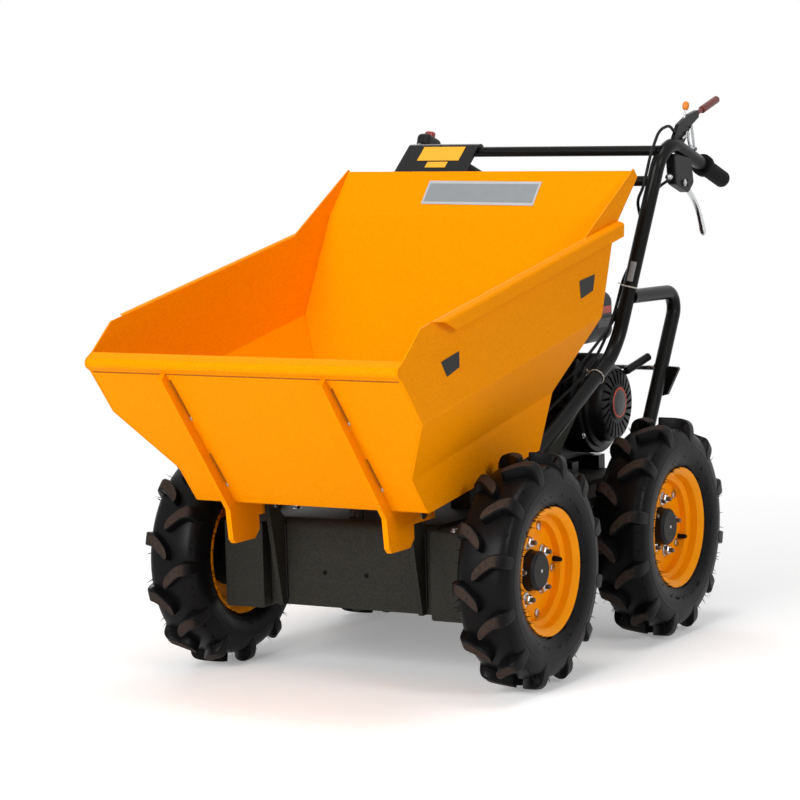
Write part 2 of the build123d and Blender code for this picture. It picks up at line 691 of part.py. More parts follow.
def skip_back():
    """Back sheet, folded back at the top, standing on the floor."""
    floor_slope = (FLOOR_REAR[1] - FRONT_FOLD[1]) / (FLOOR_REAR[0] - FRONT_FOLD[0])
    lean = math.tan(math.radians(BACK_LEAN))
    # foot: where the sloping back meets the floor's upper face
    floor_lift = SKIP_GAUGE * math.hypot(1, floor_slope)
    reach = BACK_FOLD[1] - (FRONT_FOLD[1] + floor_lift + floor_slope * (BACK_FOLD[0] - FRONT_FOLD[0]))
    drop = reach / (1 - floor_slope * lean)
    foot = (BACK_FOLD[0] - drop * lean, BACK_FOLD[1] - drop)
    width = SIDE_SECTION[-1][0]
    below = (foot[0] - SKIP_GAUGE * lean, foot[1] - SKIP_GAUGE)
    sheet = folded_plate([below, BACK_FOLD, BACK_TOP], -SKIP_GAUGE, -width, width)
    return (sheet & skip_inside()) - below_floor()


def below_floor():
    """Space under the floor's upper face, which trims the foot of the back."""
    upper = offset_path([FRONT_FOLD, FLOOR_REAR], SKIP_GAUGE)
    low_z = FRONT_FOLD[1] - 60
    outline = upper + [(FLOOR_REAR[0], low_z), (FRONT_FOLD[0], low_z)]
    return side_plate(outline, -SKIP_REACH, SKIP_REACH)


def skip_rib():
    """Left rib: up the front sheet to the lip, with the hinge tab at its foot."""
    front = [LIP_FOOT, FRONT_FOLD]
    outer = offset_path(front, -RIB_DEPTH)
    floor = (TAB_TAIL_Y, FRONT_FOLD[1] + (TAB_TAIL_Y - FRONT_FOLD[0])
             * (FLOOR_REAR[1] - FRONT_FOLD[1]) / (FLOOR_REAR[0] - FRONT_FOLD[0]))
    outline = [
        LIP_FOOT,
        outer[0],
        (outer[1][0] - 7, outer[1][1]),
        (TAB_FRONT_Y, TAB_BOTTOM_Z + 8),
        (TAB_FRONT_Y + 8, TAB_BOTTOM_Z),
        (TAB_REAR_Y, TAB_BOTTOM_Z),
        TAB_REAR_STEP,
        (TAB_REAR_STEP[0], TAB_NECK_Z),
        (TAB_TAIL_Y, TAB_NECK_Z),
        floor,
        FRONT_FOLD,
    ]
    x_low, x_high = TAB_INNER_X, TAB_INNER_X + TAB_THICKNESS
    plate = side_plate(outline, x_low, x_high)
    return plate - x_cylinder(PIN_RADIUS, x_low - 1, x_high + 1, PIN_Y, PIN_Z)


side_sheet = skip_side()
save("skip_left_side", side_sheet)
save("skip_right_side", mirrored(side_sheet))
save("skip_front_floor", skip_front_floor())
save("skip_back", skip_back())
rib = skip_rib() - skip_front_floor()
save("skip_ribs", rib, mirrored(rib))


# ---------------------------------------------------------------- engine
def engine_block():
    """Crankcase with feet, and the finned cylinder that leans to the front."""
    y_span = (CRANK_Y - CASE_HALF_LENGTH - 4, CRANK_Y + CASE_HALF_LENGTH - 4)
    case_part = block((-112, SHROUD_INNER_X), y_span, (ENGINE_BASE_Z, CRANK_Z + CASE_RISE))
    case_part = fillet(case_part.edges().filter_by(Axis.X), 16)
    foot = block((-95, 75), (y_span[0] - 15, y_span[1] + 14), (ENGINE_BASE_Z, ENGINE_BASE_Z + 10))
    side_cover = x_cylinder(62, -118, -112, CRANK_Y, CRANK_Z)
    filler = Pos(-70, CRANK_Y + 66, CRANK_Z - 40) * Rot(-60, 0, 0) * Cylinder(13, 40)
    axis = along_cylinder()
    barrel = axis * block((-38, 38), (-175, -60), (-38, 38))
    head = axis * block((-44, 44), (-196, -175), (-42, 42))
    rocker_cover = axis * fillet(block((-36, 36), (-216, -195), (-34, 34)).edges().group_by(Axis.Y)[0], 8)
    fins = [axis * block((-52, 52), (-92 - 13 * i, -88 - 13 * i), (-50, 50)) for i in range(7)]
    shaft = x_cylinder(SHAFT_RADIUS, COVER_X[1], -112, CRANK_Y, CRANK_Z)
    return case_part + [foot, side_cover, filler, barrel, head, rocker_cover, shaft] + fins


def along_cylinder():
    """Frame of the cylinder: its -Y runs from the crankshaft up to the head."""
    return Pos(0, CRANK_Y, CRANK_Z) * Rot(-CYLINDER_TILT, 0, 0)


def engine_bars():
    """Two cross bars on the deck that lift the engine's feet."""
    top = CASE_TOP_Z + DECK_GAUGE
    spots = (CRANK_Y - CASE_HALF_LENGTH - 4, CRANK_Y + CASE_HALF_LENGTH / 2)
    return [block((-120, 120), (y - 14, y + 14), (top, ENGINE_BASE_Z)) for y in spots]


def fan_shroud():
    """Blower housing round the flywheel, with a duct along the cylinder and its grille."""
    drum = x_cylinder(SHROUD_RADIUS, SHROUD_INNER_X, SHROUD_OUTER_X, CRANK_Y, CRANK_Z)
    drum = fillet(drum.edges().group_by(Axis.X)[-1], 5)
    x_low, x_high = SHROUD_INNER_X, SHROUD_OUTER_X - 8
    duct = block((x_low, x_high), (-DUCT_REACH, 0), (-DUCT_HALF_HEIGHT, DUCT_HALF_HEIGHT))
    width, gap, depth = 9.0, 5.0, 8.0
    height = DUCT_HALF_HEIGHT - 12
    for column in (-1, 0, 1):
        middle = (x_low + x_high) / 2 + column * (width + gap)
        for low in (-height - 3, 3):
            x_span = (middle - width / 2, middle + width / 2)
            duct -= block(x_span, (-DUCT_REACH - 1, depth - DUCT_REACH), (low, low + height))
    return drum + along_cylinder() * duct


def bar_between(start, end, radius):
    """Round bar from one point to another."""
    run = end - start
    return Plane(origin=start, z_dir=run) * extrude(Circle(radius), run.length)


def recoil_grip():
    """Pull grip of the starter, lying across the end of its rope guide."""
    half = GRIP_REACH / 2
    bar = bar_between(GRIP_CENTRE - half, GRIP_CENTRE + half, 8)
    return fillet(bar.edges().filter_by(GeomType.CIRCLE), 3)


def recoil_cover():
    """Recoil starter cover: a dished drum with swept air slots and the rope guide."""
    depth = RECOIL_FACE_X - SHROUD_OUTER_X
    profile = [
        (0, 0),
        (0, RECOIL_RADIUS + 8),
        (6, RECOIL_RADIUS + 8),
        (10, RECOIL_RADIUS),
        (depth - 10, RECOIL_RADIUS - 4),
        (depth - 3, RECOIL_RADIUS - 9),
        (depth, RECOIL_RADIUS - 16),
        (depth, RECOIL_BOSS_RADIUS),
        (depth + 2, RECOIL_BOSS_RADIUS - 2),
        (depth + 2, 0),
    ]
    drum = x_revolve(profile, SHROUD_OUTER_X, CRANK_Y, CRANK_Z)
    inner, outer = RECOIL_SLOT_SPAN
    slot = Rot(RECOIL_SLOT_SWEEP, 0, 0) * Box(2 * RECOIL_SLOT_DEPTH, RECOIL_SLOT_WIDTH, outer - inner)
    slots = [
        Pos(RECOIL_FACE_X, CRANK_Y, CRANK_Z)
        * Rot(360 / RECOIL_SLOTS * i, 0, 0)
        * Pos(0, 0, (inner + outer) / 2)
        * slot
        for i in range(RECOIL_SLOTS)
    ]
    return drum - slots + bar_between(ROPE_EXIT, GRIP_CENTRE, 6) - recoil_grip()


def fuel_tank():
    """Fuel tank with rounded shoulders and a seam flange, on a foot over the crankcase."""
    body = block(TANK_X, TANK_Y, TANK_Z)
    body = fillet(body.edges(), TANK_EDGE_RADIUS)
    seam_z = (TANK_Z[0] + TANK_Z[1]) / 2
    width = TANK_SEAM_WIDTH
    seam = block(
        (TANK_X[0] - width, TANK_X[1] + width),
        (TANK_Y[0] - width, TANK_Y[1] + width),
        (seam_z - 1.5, seam_z + 1.5),
    )
    seam = fillet(seam.edges().filter_by(Axis.Z), TANK_EDGE_RADIUS + 2)
    foot = block((-80, 60), (CRANK_Y - 50, CRANK_Y + 50), (CRANK_Z + CASE_RISE, TANK_Z[0]))
    return body + seam + foot


def fuel_cap():
    """Screw cap on the tank, fluted for the hand."""
    cap = Pos(CAP_X, CRANK_Y, TANK_Z[1] + CAP_HEIGHT / 2) * Cylinder(CAP_RADIUS, CAP_HEIGHT)
    cap = chamfer(cap.edges().group_by(Axis.Z)[-1], 3)
    flutes = [
        Pos(CAP_X, CRANK_Y, TANK_Z[1] + 3 + CAP_HEIGHT / 2)
        * Rot(0, 0, 360 / CAP_FLUTES * i)
        * Pos(CAP_RADIUS + 1, 0, 0)
        * Cylinder(3, CAP_HEIGHT)
        for i in range(CAP_FLUTES)
    ]
    return cap - flutes


def air_filter():
    """Air filter box beside the tank, on the carburettor, with the rim of its lid."""
    box = fillet(block(FILTER_X, FILTER_Y, FILTER_Z).edges(), 14)
    lid_z = FILTER_Z[1] - 26
    rim_wide = [(low - 2, high + 2) for low, high in (FILTER_X, FILTER_Y)]
    lid_rim = fillet(block(*rim_wide, (lid_z - 3, lid_z)).edges().filter_by(Axis.Z), 14)
    return box + lid_rim


def carburettor():
    """Carburettor and its elbow between the cylinder head and the filter."""
    body = block((52, 86), (CRANK_Y - 178, CRANK_Y - 140), (CRANK_Z + 21, FILTER_Z[0]))
    elbow = block((40, 60), (CRANK_Y - 174, CRANK_Y - 146), (CRANK_Z + 25, CRANK_Z + 55))
    return body + elbow - engine_block()


def muffler():
    """Muffler over the cylinder, on the right, in its slotted guard."""
    box = fillet(block(MUFFLER_X, MUFFLER_Y, MUFFLER_Z).edges(), 16)
    middle_z = (MUFFLER_Z[0] + MUFFLER_Z[1]) / 2
    slots = []
    for i in range(6):
        y = MUFFLER_Y[0] + 24 + 12 * i
        slots.append(block((MUFFLER_X[0] - 1, MUFFLER_X[0] + 4), (y - 3, y + 3), (middle_z - 20, middle_z + 20)))
    pipe = block((-62, -34), (CRANK_Y - 184, CRANK_Y - 158), (CRANK_Z + 75, MUFFLER_Z[0] + 4))
    return box - slots + pipe - engine_block()


def belt_cover():
    """Guard over the belt from the crankshaft down to the gearbox."""
    x_low, x_high = COVER_X
    upper = (CRANK_Y, CRANK_Z, 62)
    lower = ((GEARBOX_Y[0] + GEARBOX_Y[1]) / 2, GEARBOX_Z[1] - 43, 52)
    drums = [x_cylinder(r, x_low, x_high, y, z) for y, z, r in (upper, lower)]
    angle = math.atan2(upper[1] - lower[1], upper[0] - lower[0])
    swing = (-math.sin(angle), math.cos(angle))
    web = []
    for y, z, r in (upper, lower):
        web.append((y + r * swing[0], z + r * swing[1]))
    for y, z, r in (lower, upper):
        web.append((y - r * swing[0], z - r * swing[1]))
    cover = drums[0] + drums[1] + side_plate(web, x_low, x_high)
    return chamfer(cover.faces().sort_by(Axis.X)[0].edges(), 4)


save("engine_block", engine_block())
save("engine_bars", *engine_bars())
save("fan_shroud", fan_shroud())
save("recoil_cover", recoil_cover())
save("recoil_grip", recoil_grip())
save("fuel_tank", fuel_tank())
save("fuel_cap", fuel_cap())
save("air_filter", air_filter())
save("carburettor", carburettor())
save("muffler", muffler())
save("belt_cover", belt_cover())


# ---------------------------------------------------------------- handlebars and controls
def handle_x(z):
    """Half spacing of the handle uprights at a height."""
    low, high = HANDLE_POINTS[1], HANDLE_POINTS[2]
    share = (z - low[2]) / (high[2] - low[2])
    return low[0] + share * (high[0] - low[0])


def handle_y(z):
    """Y of the handle uprights at a height."""
    low, high = HANDLE_POINTS[1], HANDLE_POINTS[2]
    share = (z - low[2]) / (high[2] - low[2])
    return low[1] + share * (high[1] - low[1])


def handle():
    """Left handle tube; the grip slides over its end."""
    return round_tube(HANDLE_POINTS, HANDLE_BENDS, HANDLE_RADIUS)


def upright_bracket(tube):
    """Left bracket plate from the chain case's top to the handle tube."""
    x = HANDLE_POINTS[0][0]
    y0, z0 = HANDLE_POINTS[0][1:]
    y1, z1 = HANDLE_POINTS[1][1:]
    slope = (z1 - z0) / (y1 - y0)
    low_y, mid_y, high_y = y0 + 8, y0 + 95, y0 + 210
    outline = [
        (low_y, CASE_TOP_Z),
        (mid_y, CASE_TOP_Z),
        (mid_y, CASE_TOP_Z + 78),
        (high_y, z0 + slope * (high_y - y0) - 8),
        (high_y, z0 + slope * (high_y - y0)),
        (low_y, z0 + slope * (low_y - y0)),
    ]
    plate = side_plate(outline, x - UPRIGHT_THICKNESS / 2, x + UPRIGHT_THICKNESS / 2)
    return plate - tube


def cross_tube(z, tube):
    """Tube across the machine between the two handle uprights."""
    x, y = handle_x(z), handle_y(z)
    bar = x_cylinder(CROSS_TUBE_RADIUS, -x, x, y, z)
    return bar - tube - mirrored(tube)


def along_grip(distance):
    """Place on the left handle's end run, distance before its end, turned along it."""
    place = GRIP_END - GRIP_DIRECTION * distance
    return Plane(origin=place, x_dir=(1, 0, 0), z_dir=GRIP_DIRECTION)


def grip():
    """Left hand grip: a sleeve with a collar, closed at its end."""
    sleeve = along_grip(GRIP_LENGTH) * extrude(Circle(GRIP_RADIUS), GRIP_LENGTH)
    collar = along_grip(GRIP_LENGTH) * extrude(Circle(GRIP_COLLAR_RADIUS), GRIP_COLLAR_LENGTH)
    body = sleeve + collar
    return body - along_grip(GRIP_LENGTH + 1) * extrude(Circle(HANDLE_RADIUS), GRIP_LENGTH - 3)


left_tube = handle()
left_tube_short = left_tube - along_grip(4) * extrude(Circle(2 * GRIP_RADIUS), 20)
save("left_handle", left_tube_short)
save("right_handle", mirrored(left_tube_short))
upright = upright_bracket(left_tube)
save("handle_brackets", upright, mirrored(upright))
save("cross_tubes", cross_tube(UPPER_CROSS_Z, left_tube), cross_tube(LOWER_CROSS_Z, left_tube))
hand_grip = grip()
save("hand_grips", hand_grip, mirrored(hand_grip))


# ---------------------------------------------------------------- controls
CONTROL_X = HANDLE_POINTS[2][0]


def lever_housing(tube):
    """Left lever housing, hung under the handle's bend."""
    half = HOUSING_THICKNESS / 2
    body = rounded_plate(HOUSING_OUTLINE, CONTROL_X - half, CONTROL_X + half, 9)
    body = chamfer(body.edges().group_by(Axis.X)[-1] + body.edges().group_by(Axis.X)[0], 2)
    pivot = x_cylinder(7, CONTROL_X - half - 3, CONTROL_X + half + 3, LEVER_LINE[0][0] - 8, LEVER_LINE[0][1] + 6)
    return body + pivot - tube


def hand_lever(housing):
    """Left hand lever, curving down behind its housing to a rounded end."""
    x_low, x_high = CONTROL_X - LEVER_WIDTH / 2, CONTROL_X + LEVER_WIDTH / 2
    lever = folded_plate(LEVER_LINE, LEVER_THICKNESS, x_low, x_high, LEVER_FOLD_RADIUS)
    end = lever.faces().sort_by(Axis.Z)[0]
    return fillet(end.edges().filter_by(Axis.X), 3) - housing


housing = lever_housing(left_tube)
save("lever_housings", housing, mirrored(housing))
lever = hand_lever(housing)
save("hand_levers", lever, mirrored(lever))


def drive_bracket(tube):
    """Sheet bracket on top of the left handle's bend."""
    half = DRIVE_BRACKET_THICKNESS / 2
    return rounded_plate(DRIVE_BRACKET_OUTLINE, CONTROL_X - half, CONTROL_X + half, 4) - tube


def drive_lever(bracket_plate):
    """Gripped lever that lies over the left hand grip."""
    start, end = [Vector(CONTROL_X, y, z) for y, z in DRIVE_GRIP_LINE]
    stub = start + (end - start) * 0.3
    bar = bar_between(start, stub, DRIVE_GRIP_RADIUS - 3)
    sleeve = bar_between(stub - (end - start) * 0.05, end, DRIVE_GRIP_RADIUS)
    sleeve = fillet(sleeve.edges().filter_by(GeomType.CIRCLE), 2)
    return bar + sleeve - bracket_plate


def throttle_lever(bracket_plate):
    """Throttle stem with its round knob."""
    foot, top = [Vector(CONTROL_X, y, z) for y, z in (THROTTLE_FOOT, THROTTLE_TOP)]
    knob = Pos(top.X, top.Y, top.Z) * Sphere(THROTTLE_KNOB_RADIUS)
    return bar_between(foot, top, 2) + knob - bracket_plate


control_bracket = drive_bracket(left_tube)
save("control_bracket", control_bracket)
save("drive_lever", drive_lever(control_bracket))
save("throttle_lever", throttle_lever(control_bracket))


def on_upright(z, turn, lift=0):
    """Place of a cable on the left upright, turned from its front towards the middle."""
    axis = (Vector(HANDLE_POINTS[2]) - Vector(HANDLE_POINTS[1])).normalized()
    ahead = (Vector(0, -1, 0) - axis * axis.dot(Vector(0, -1, 0))).normalized()
    inward = ahead.cross(axis)
    angle = math.radians(turn)
    reach = HANDLE_RADIUS + CABLE_RADIUS + CABLE_GAP + lift
    aside = ahead * math.cos(angle) + inward * math.sin(angle)
    return Vector(handle_x(z), handle_y(z), z) + aside * reach


def cable(points):
    """Cable through the points, with arcs as large as its runs allow."""
    points = [Vector(point) for point in points]
    bends = []
    for before, here, after in zip(points, points[1:], points[2:]):
        turn = math.radians((here - before).get_angle(after - here))
        shorter = min((here - before).length, (after - here).length)
        bends.append(0.45 * shorter / math.tan(turn / 2))
    return round_tube(points, bends, CABLE_RADIUS)


def clutch_cable():
    """From the left lever housing down behind the upright and on to the clutch arm."""
    seat_x = GEARBOX_X[1] - GEARBOX_CLEAR + 12
    end_z = CLUTCH_Z + CLUTCH_ARM_LENGTH - 6
    return cable([
        (CONTROL_X, 710.4, 862.0),
        (CONTROL_X - 1, 700, 860),
        (258, 690, 848),
        on_upright(820, 150, 4),
        on_upright(785, 135),
        on_upright(705, 130),
        on_upright(668, 92, 1),
        on_upright(606, 86, 1),
        (182, 586, 548),
        (172, 552, 510),
        (160, 515, 480),
        (138, 465, 447),
        (120, 418, 411),
        (seat_x, 394, end_z + 2),
        (seat_x, CLUTCH_Y + 6.6, end_z),
    ])


def throttle_cable():
    """From the control bracket round and down behind the upright to the carburettor."""
    return cable([
        (CONTROL_X, 729.0, 951.8),
        (274, 708, 966),
        (268, 674, 958),
        (261, 648, 912),
        on_upright(875, 30, 4),
        on_upright(842, 30, 4),
        on_upright(818, 75, 6),
        on_upright(795, 122, 6),
        on_upright(768, 165, 1),
        on_upright(705, 165),
        on_upright(668, 126, 3),
        on_upright(606, 118, 1),
        (188, 596, 576),
        (168, 556, 534),
        (142, 515, 488),
        (112, CRANK_Y - 158, CRANK_Z + 48),
        (86.6, CRANK_Y - 160, CRANK_Z + 46),
    ])


save("control_cables", clutch_cable(), throttle_cable())


def console(tube):
    """Console sheet, wrapped over the upper cross tube and sloping down to the front."""
    place = Plane(origin=(CONSOLE_X[0], handle_y(UPPER_CROSS_Z), UPPER_CROSS_Z), x_dir=(0, 1, 0), z_dir=(1, 0, 0))
    start, end = -30.0, 90.0 + CONSOLE_SLOPE
    lean = math.radians(CONSOLE_SLOPE)
    run = Vector(-math.cos(lean), -math.sin(lean)) * CONSOLE_LENGTH
    arcs = [CenterArc((0, 0), radius, start, end - start)
            for radius in (CROSS_TUBE_RADIUS, CROSS_TUBE_RADIUS + CONSOLE_GAUGE)]
    inner, outer = [arc @ 1 for arc in arcs]
    flat = Polyline(inner, inner + run, outer + run, outer)
    face = make_face([*arcs, Line(arcs[0] @ 0, arcs[1] @ 0), *flat.edges()])
    return extrude(place * face, amount=CONSOLE_X[1] - CONSOLE_X[0], dir=(1, 0, 0)) - tube


def stop_place():
    """Place of the stop switch on the right handle, square to its grip run."""
    run = GRIP_DIRECTION
    y = STOP_BODY_Y
    z = HANDLE_POINTS[2][2] + run.Z / run.Y * (y - HANDLE_POINTS[2][1])
    return Pos(-HANDLE_POINTS[2][0], y, z) * Rot(math.degrees(math.atan2(run.Z, run.Y)), 0, 0)


def stop_body(tube, lever_mount):
    """Rounded switch body on the right handle, over its lever housing."""
    body = stop_place() * Box(*STOP_BODY_SIZE)
    return fillet(body.edges(), 10) - tube - lever_mount


def stop_knob(body):
    """Stop knob on top of its switch body."""
    foot = STOP_BODY_SIZE[2] / 2
    knob = stop_place() * Pos(0, 0, foot + 3) * Cylinder(STOP_KNOB_RADIUS, 12)
    return fillet(knob.edges().group_by(Axis.Z)[-1], 3) - body


right_tube = mirrored(left_tube)
save("console", console(right_tube))
switch_body = stop_body(right_tube, mirrored(housing))
save("stop_body", switch_body)
save("stop_knob", stop_knob(switch_body))


# ---------------------------------------------------------------- rear guard
def guard_y(z):
    """Y of the guard's leg at a height."""
    top, foot = GUARD_POINTS[1], GUARD_POINTS[2]
    return foot[0] + (top[0] - foot[0]) / (top[1] - foot[1]) * (z - foot[1])


def guard():
    """Left guard bar: back from the handle, then down to the chain case, with its plate."""
    points = [Vector(GUARD_X, y, z) for y, z in GUARD_POINTS]
    points[2] += (points[2] - points[1]).normalized() * 20
    bar = round_tube(points, [GUARD_BEND], GUARD_RADIUS)
    bar -= block((0, SKIP_REACH), (0, SKIP_REACH), (0, CASE_TOP_Z))
    low, high = GUARD_PLATE_Z
    y = guard_y(high)
    inner, foot, outer = GUARD_PLATE_X
    corners = [(GUARD_X, y, high), (outer, y, high - 2), (foot, y, low), (inner, y, low - 5), (GUARD_X - 6, y, low)]
    plate = extrude(make_face(Polyline(corners, close=True)), amount=10, dir=(0, 1, 0))
    plate = fillet(plate.edges().filter_by(Axis.Y).group_by(Axis.X)[-1], 4)
    return bar + plate


def guard_rod(guard_bar):
    """Rod between the two guard legs."""
    rod = x_cylinder(GUARD_ROD_RADIUS, -GUARD_X, GUARD_X, guard_y(GUARD_ROD_Z), GUARD_ROD_Z)
    return rod - guard_bar - mirrored(guard_bar)


guard_bar = guard()
trimmed_guard = guard_bar - left_tube
trimmed_guard = max(trimmed_guard.solids(), key=lambda solid: solid.volume)
save("left_guard", trimmed_guard)
save("right_guard", mirrored(trimmed_guard))
save("guard_rod", guard_rod(guard_bar))

print(f"origin_y {ORIGIN_Y:.3f}  rear_end_y {REAR_END_Y:.3f}")
print(f"pin row frame y {(PIN_Y - ORIGIN_Y):.3f} z {PIN_Z:.3f}")
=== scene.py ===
"""Walk-behind site dumper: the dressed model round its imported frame.

Lengths are metres in the frame's own axes: +X to the operator's left, -Y towards the
dumping end, +Z up, with z = 0 on the ground. Outlines and routes are typed in millimetres.
"""

from __future__ import annotations

import json
import logging
import math
from dataclasses import dataclass
from enum import Enum

import bmesh
import bpy
import numpy as np
from mathutils import Matrix

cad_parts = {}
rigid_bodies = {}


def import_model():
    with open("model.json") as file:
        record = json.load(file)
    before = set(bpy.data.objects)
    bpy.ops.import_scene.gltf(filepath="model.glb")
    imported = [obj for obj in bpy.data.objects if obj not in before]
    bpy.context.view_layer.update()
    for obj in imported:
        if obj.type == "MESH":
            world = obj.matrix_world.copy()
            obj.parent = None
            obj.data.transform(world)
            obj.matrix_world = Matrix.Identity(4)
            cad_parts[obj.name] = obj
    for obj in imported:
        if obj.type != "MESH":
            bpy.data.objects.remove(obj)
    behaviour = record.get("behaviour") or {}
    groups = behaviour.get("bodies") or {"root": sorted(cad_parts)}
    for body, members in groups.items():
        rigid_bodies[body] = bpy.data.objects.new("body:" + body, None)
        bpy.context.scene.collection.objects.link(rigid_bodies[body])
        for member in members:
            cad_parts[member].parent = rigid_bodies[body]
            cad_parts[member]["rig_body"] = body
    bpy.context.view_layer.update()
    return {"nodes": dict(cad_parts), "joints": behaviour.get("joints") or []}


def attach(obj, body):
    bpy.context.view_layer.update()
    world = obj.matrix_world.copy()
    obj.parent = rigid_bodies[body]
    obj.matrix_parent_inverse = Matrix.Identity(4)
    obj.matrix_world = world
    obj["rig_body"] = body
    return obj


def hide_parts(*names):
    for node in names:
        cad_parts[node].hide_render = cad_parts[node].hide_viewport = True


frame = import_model()

LOG = logging.getLogger("site_dumper")
Array = np.ndarray
Faces = list[list[int]]
Shape = tuple[Array, Faces]
Place = tuple[float, float, float]
Tree = bpy.types.NodeTree
Socket = bpy.types.NodeSocket
MM = 0.001
MERGE_DISTANCE = 0.004 * MM
FLAT_ANGLE = 0.4
SKIN_CREASE = 28.0
FILM_STEP = 0.6 * MM


# ---------------------------------------------------------------- frame
def joint_place(name: str) -> Array:
    """Place of a joint of the frame.

    Args:
        name: the joint's name in the record.

    Returns:
        Its point in the row frame.
    """
    return np.array(next(joint["pos_m"] for joint in frame["joints"] if joint["name"] == name))


def at(*places: Place) -> Array:
    """Places in the row frame, from millimetres measured with y from the front axle and z from the ground."""
    front_axle = np.array([0.0, joint_place("front_left_spin")[1], 0.0])
    return np.array(places, float) * MM + front_axle


class Side(Enum):
    """Side of the machine, as the sign of X."""

    LEFT = 1
    RIGHT = -1


class Body(Enum):
    """Moving bodies of the frame."""

    CHASSIS = "chassis"
    SKIP = "skip"


# ---------------------------------------------------------------- shapes
def grid_faces(rows: int, columns: int, wrap_rows: bool = False, wrap_columns: bool = False) -> Faces:
    """Quads of a grid whose point (i, j) has number i * columns + j.

    Args:
        rows: points along the first parameter.
        columns: points along the second parameter.
        wrap_rows: joins the last row to the first.
        wrap_columns: joins the last column to the first.

    Returns:
        One list of four point numbers for each quad.
    """
    i, j = np.meshgrid(
        np.arange(rows if wrap_rows else rows - 1),
        np.arange(columns if wrap_columns else columns - 1),
        indexing="ij",
    )
    i_next, j_next = (i + 1) % rows, (j + 1) % columns
    quads = [i * columns + j, i_next * columns + j, i_next * columns + j_next, i * columns + j_next]
    return np.stack(quads, axis=-1).reshape(-1, 4).tolist()


def capped(rings: int, sides: int) -> Faces:
    """Quads between rings of so many points, then a cap on the first ring and on the last."""
    numbers = list(range(rings * sides))
    return grid_faces(rings, sides, wrap_columns=True) + [numbers[:sides], numbers[-sides:][::-1]]


def unit(vectors: Array | Place) -> Array:
    """One vector, or an array of them, at length one."""
    return np.array(vectors, float) / np.linalg.norm(vectors, axis=-1, keepdims=True)


def lathe(profile: Array, segments: int, closed: bool = False) -> Shape:
    """Surface of revolution about X: point = (x, r cos a, r sin a) for each profile point and angle.

    Args:
        profile: (n, 2) array of x and radius.
        segments: steps round the axis.
        closed: the profile is a closed loop.

    Returns:
        Points and faces, with a cap wherever an open profile ends off the axis.
    """
    angles = np.arange(segments) * 2 * np.pi / segments
    x = np.repeat(profile[:, :1], segments, axis=1)
    rings = [x, profile[:, 1:] * np.cos(angles), profile[:, 1:] * np.sin(angles)]
    points = np.stack(rings, axis=-1).reshape(-1, 3)
    if closed:
        return points, grid_faces(len(profile), segments, wrap_rows=True, wrap_columns=True)
    return points, capped(len(profile), segments)


def tube(path: Array, radius: float | Array, sides: int = 12) -> Shape:
    """Round tube: a circle of the given radius carried square to the path.

    Args:
        path: (n, 3) points of the centre line.
        radius: one radius, or one for each point.
        sides: points round the circle.

    Returns:
        Points and faces of the closed tube.
    """
    path = np.asarray(path, float)
    ahead = unit(np.gradient(path, axis=0))
    # the axis that the path spreads least along, skewed so that no stretch runs along it
    aside = np.eye(3)[int(np.argmin(np.ptp(path, axis=0)))] + np.array([0.011, 0.017, 0.013])
    across = unit(np.cross(ahead, aside))[:, None]
    upward = np.cross(across[:, 0], ahead)[:, None]
    angles = (np.arange(sides) * 2 * np.pi / sides)[None, :, None]
    reach = np.broadcast_to(np.asarray(radius, float), len(path))[:, None, None]
    ring = across * np.cos(angles) + upward * np.sin(angles)
    return (path[:, None] + ring * reach).reshape(-1, 3), capped(len(path), sides)


def bar(path: Array, half_width: Array, half_depth: Array, sides: int = 20) -> Shape:
    """Rounded flat bar in a plane of constant X, carried along the path.

    Each section is a superellipse: width * sgn(cos a) |cos a|^0.7 along X and
    depth * sgn(sin a) |sin a|^0.7 across the path.

    Args:
        path: (n, 3) points of the middle line, at one X.
        half_width: half the width along X at each point.
        half_depth: half the depth in the plane at each point.
        sides: points round each section.

    Returns:
        Points and faces of the closed bar.
    """
    along_x = np.array([1.0, 0.0, 0.0])
    across = np.cross(unit(np.gradient(path, axis=0)), along_x)
    angles = np.arange(sides) * 2 * np.pi / sides
    wide, deep = [np.sign(wave) * np.abs(wave) ** 0.7 for wave in (np.cos(angles), np.sin(angles))]
    points = path[:, None] + across[:, None] * (half_depth[:, None] * deep)[..., None]
    points = points + along_x * (half_width[:, None] * wide)[..., None]
    return points.reshape(-1, 3), capped(len(path), sides)


def joined(shapes: list[Shape]) -> Shape:
    """All the shapes as one.

    Args:
        shapes: the shapes, in order.

    Returns:
        Their points and faces as one set.
    """
    points, faces, first = [], [], 0
    for shape_points, shape_faces in shapes:
        points.append(shape_points)
        faces += [[number + first for number in face] for face in shape_faces]
        first += len(shape_points)
    return np.concatenate(points), faces


def facing(direction: Place) -> Array:
    """Turning matrix that carries +X to a direction, with its second axis level where it can be.

    Args:
        direction: where +X goes, at any length.

    Returns:
        The 3 by 3 matrix.
    """
    ahead = unit(direction)
    upright = np.array([0.0, 0.0, 1.0]) if abs(ahead[2]) < 0.95 else np.array([0.0, 1.0, 0.0])
    level = unit(np.cross(upright, ahead))
    return np.column_stack([ahead, level, np.cross(ahead, level)])


def moved(shape: Shape, place: Place | Array = (0, 0, 0), turn: Array | None = None) -> Shape:
    """The shape turned by a matrix, if there is one, then moved to a place."""
    turned = shape[0] if turn is None else shape[0] @ turn.T
    return turned + np.array(place, float), shape[1]


def mirrored(shape: Shape) -> Shape:
    """The shape on the other side of the YZ plane, with its faces still outwards."""
    points, faces = shape
    return points * np.array([-1.0, 1.0, 1.0]), [face[::-1] for face in faces]


def linked(name: str, data: bpy.types.ID) -> bpy.types.Object:
    """New object of some data in the scene."""
    obj = bpy.data.objects.new(name, data)
    bpy.context.scene.collection.objects.link(obj)
    return obj


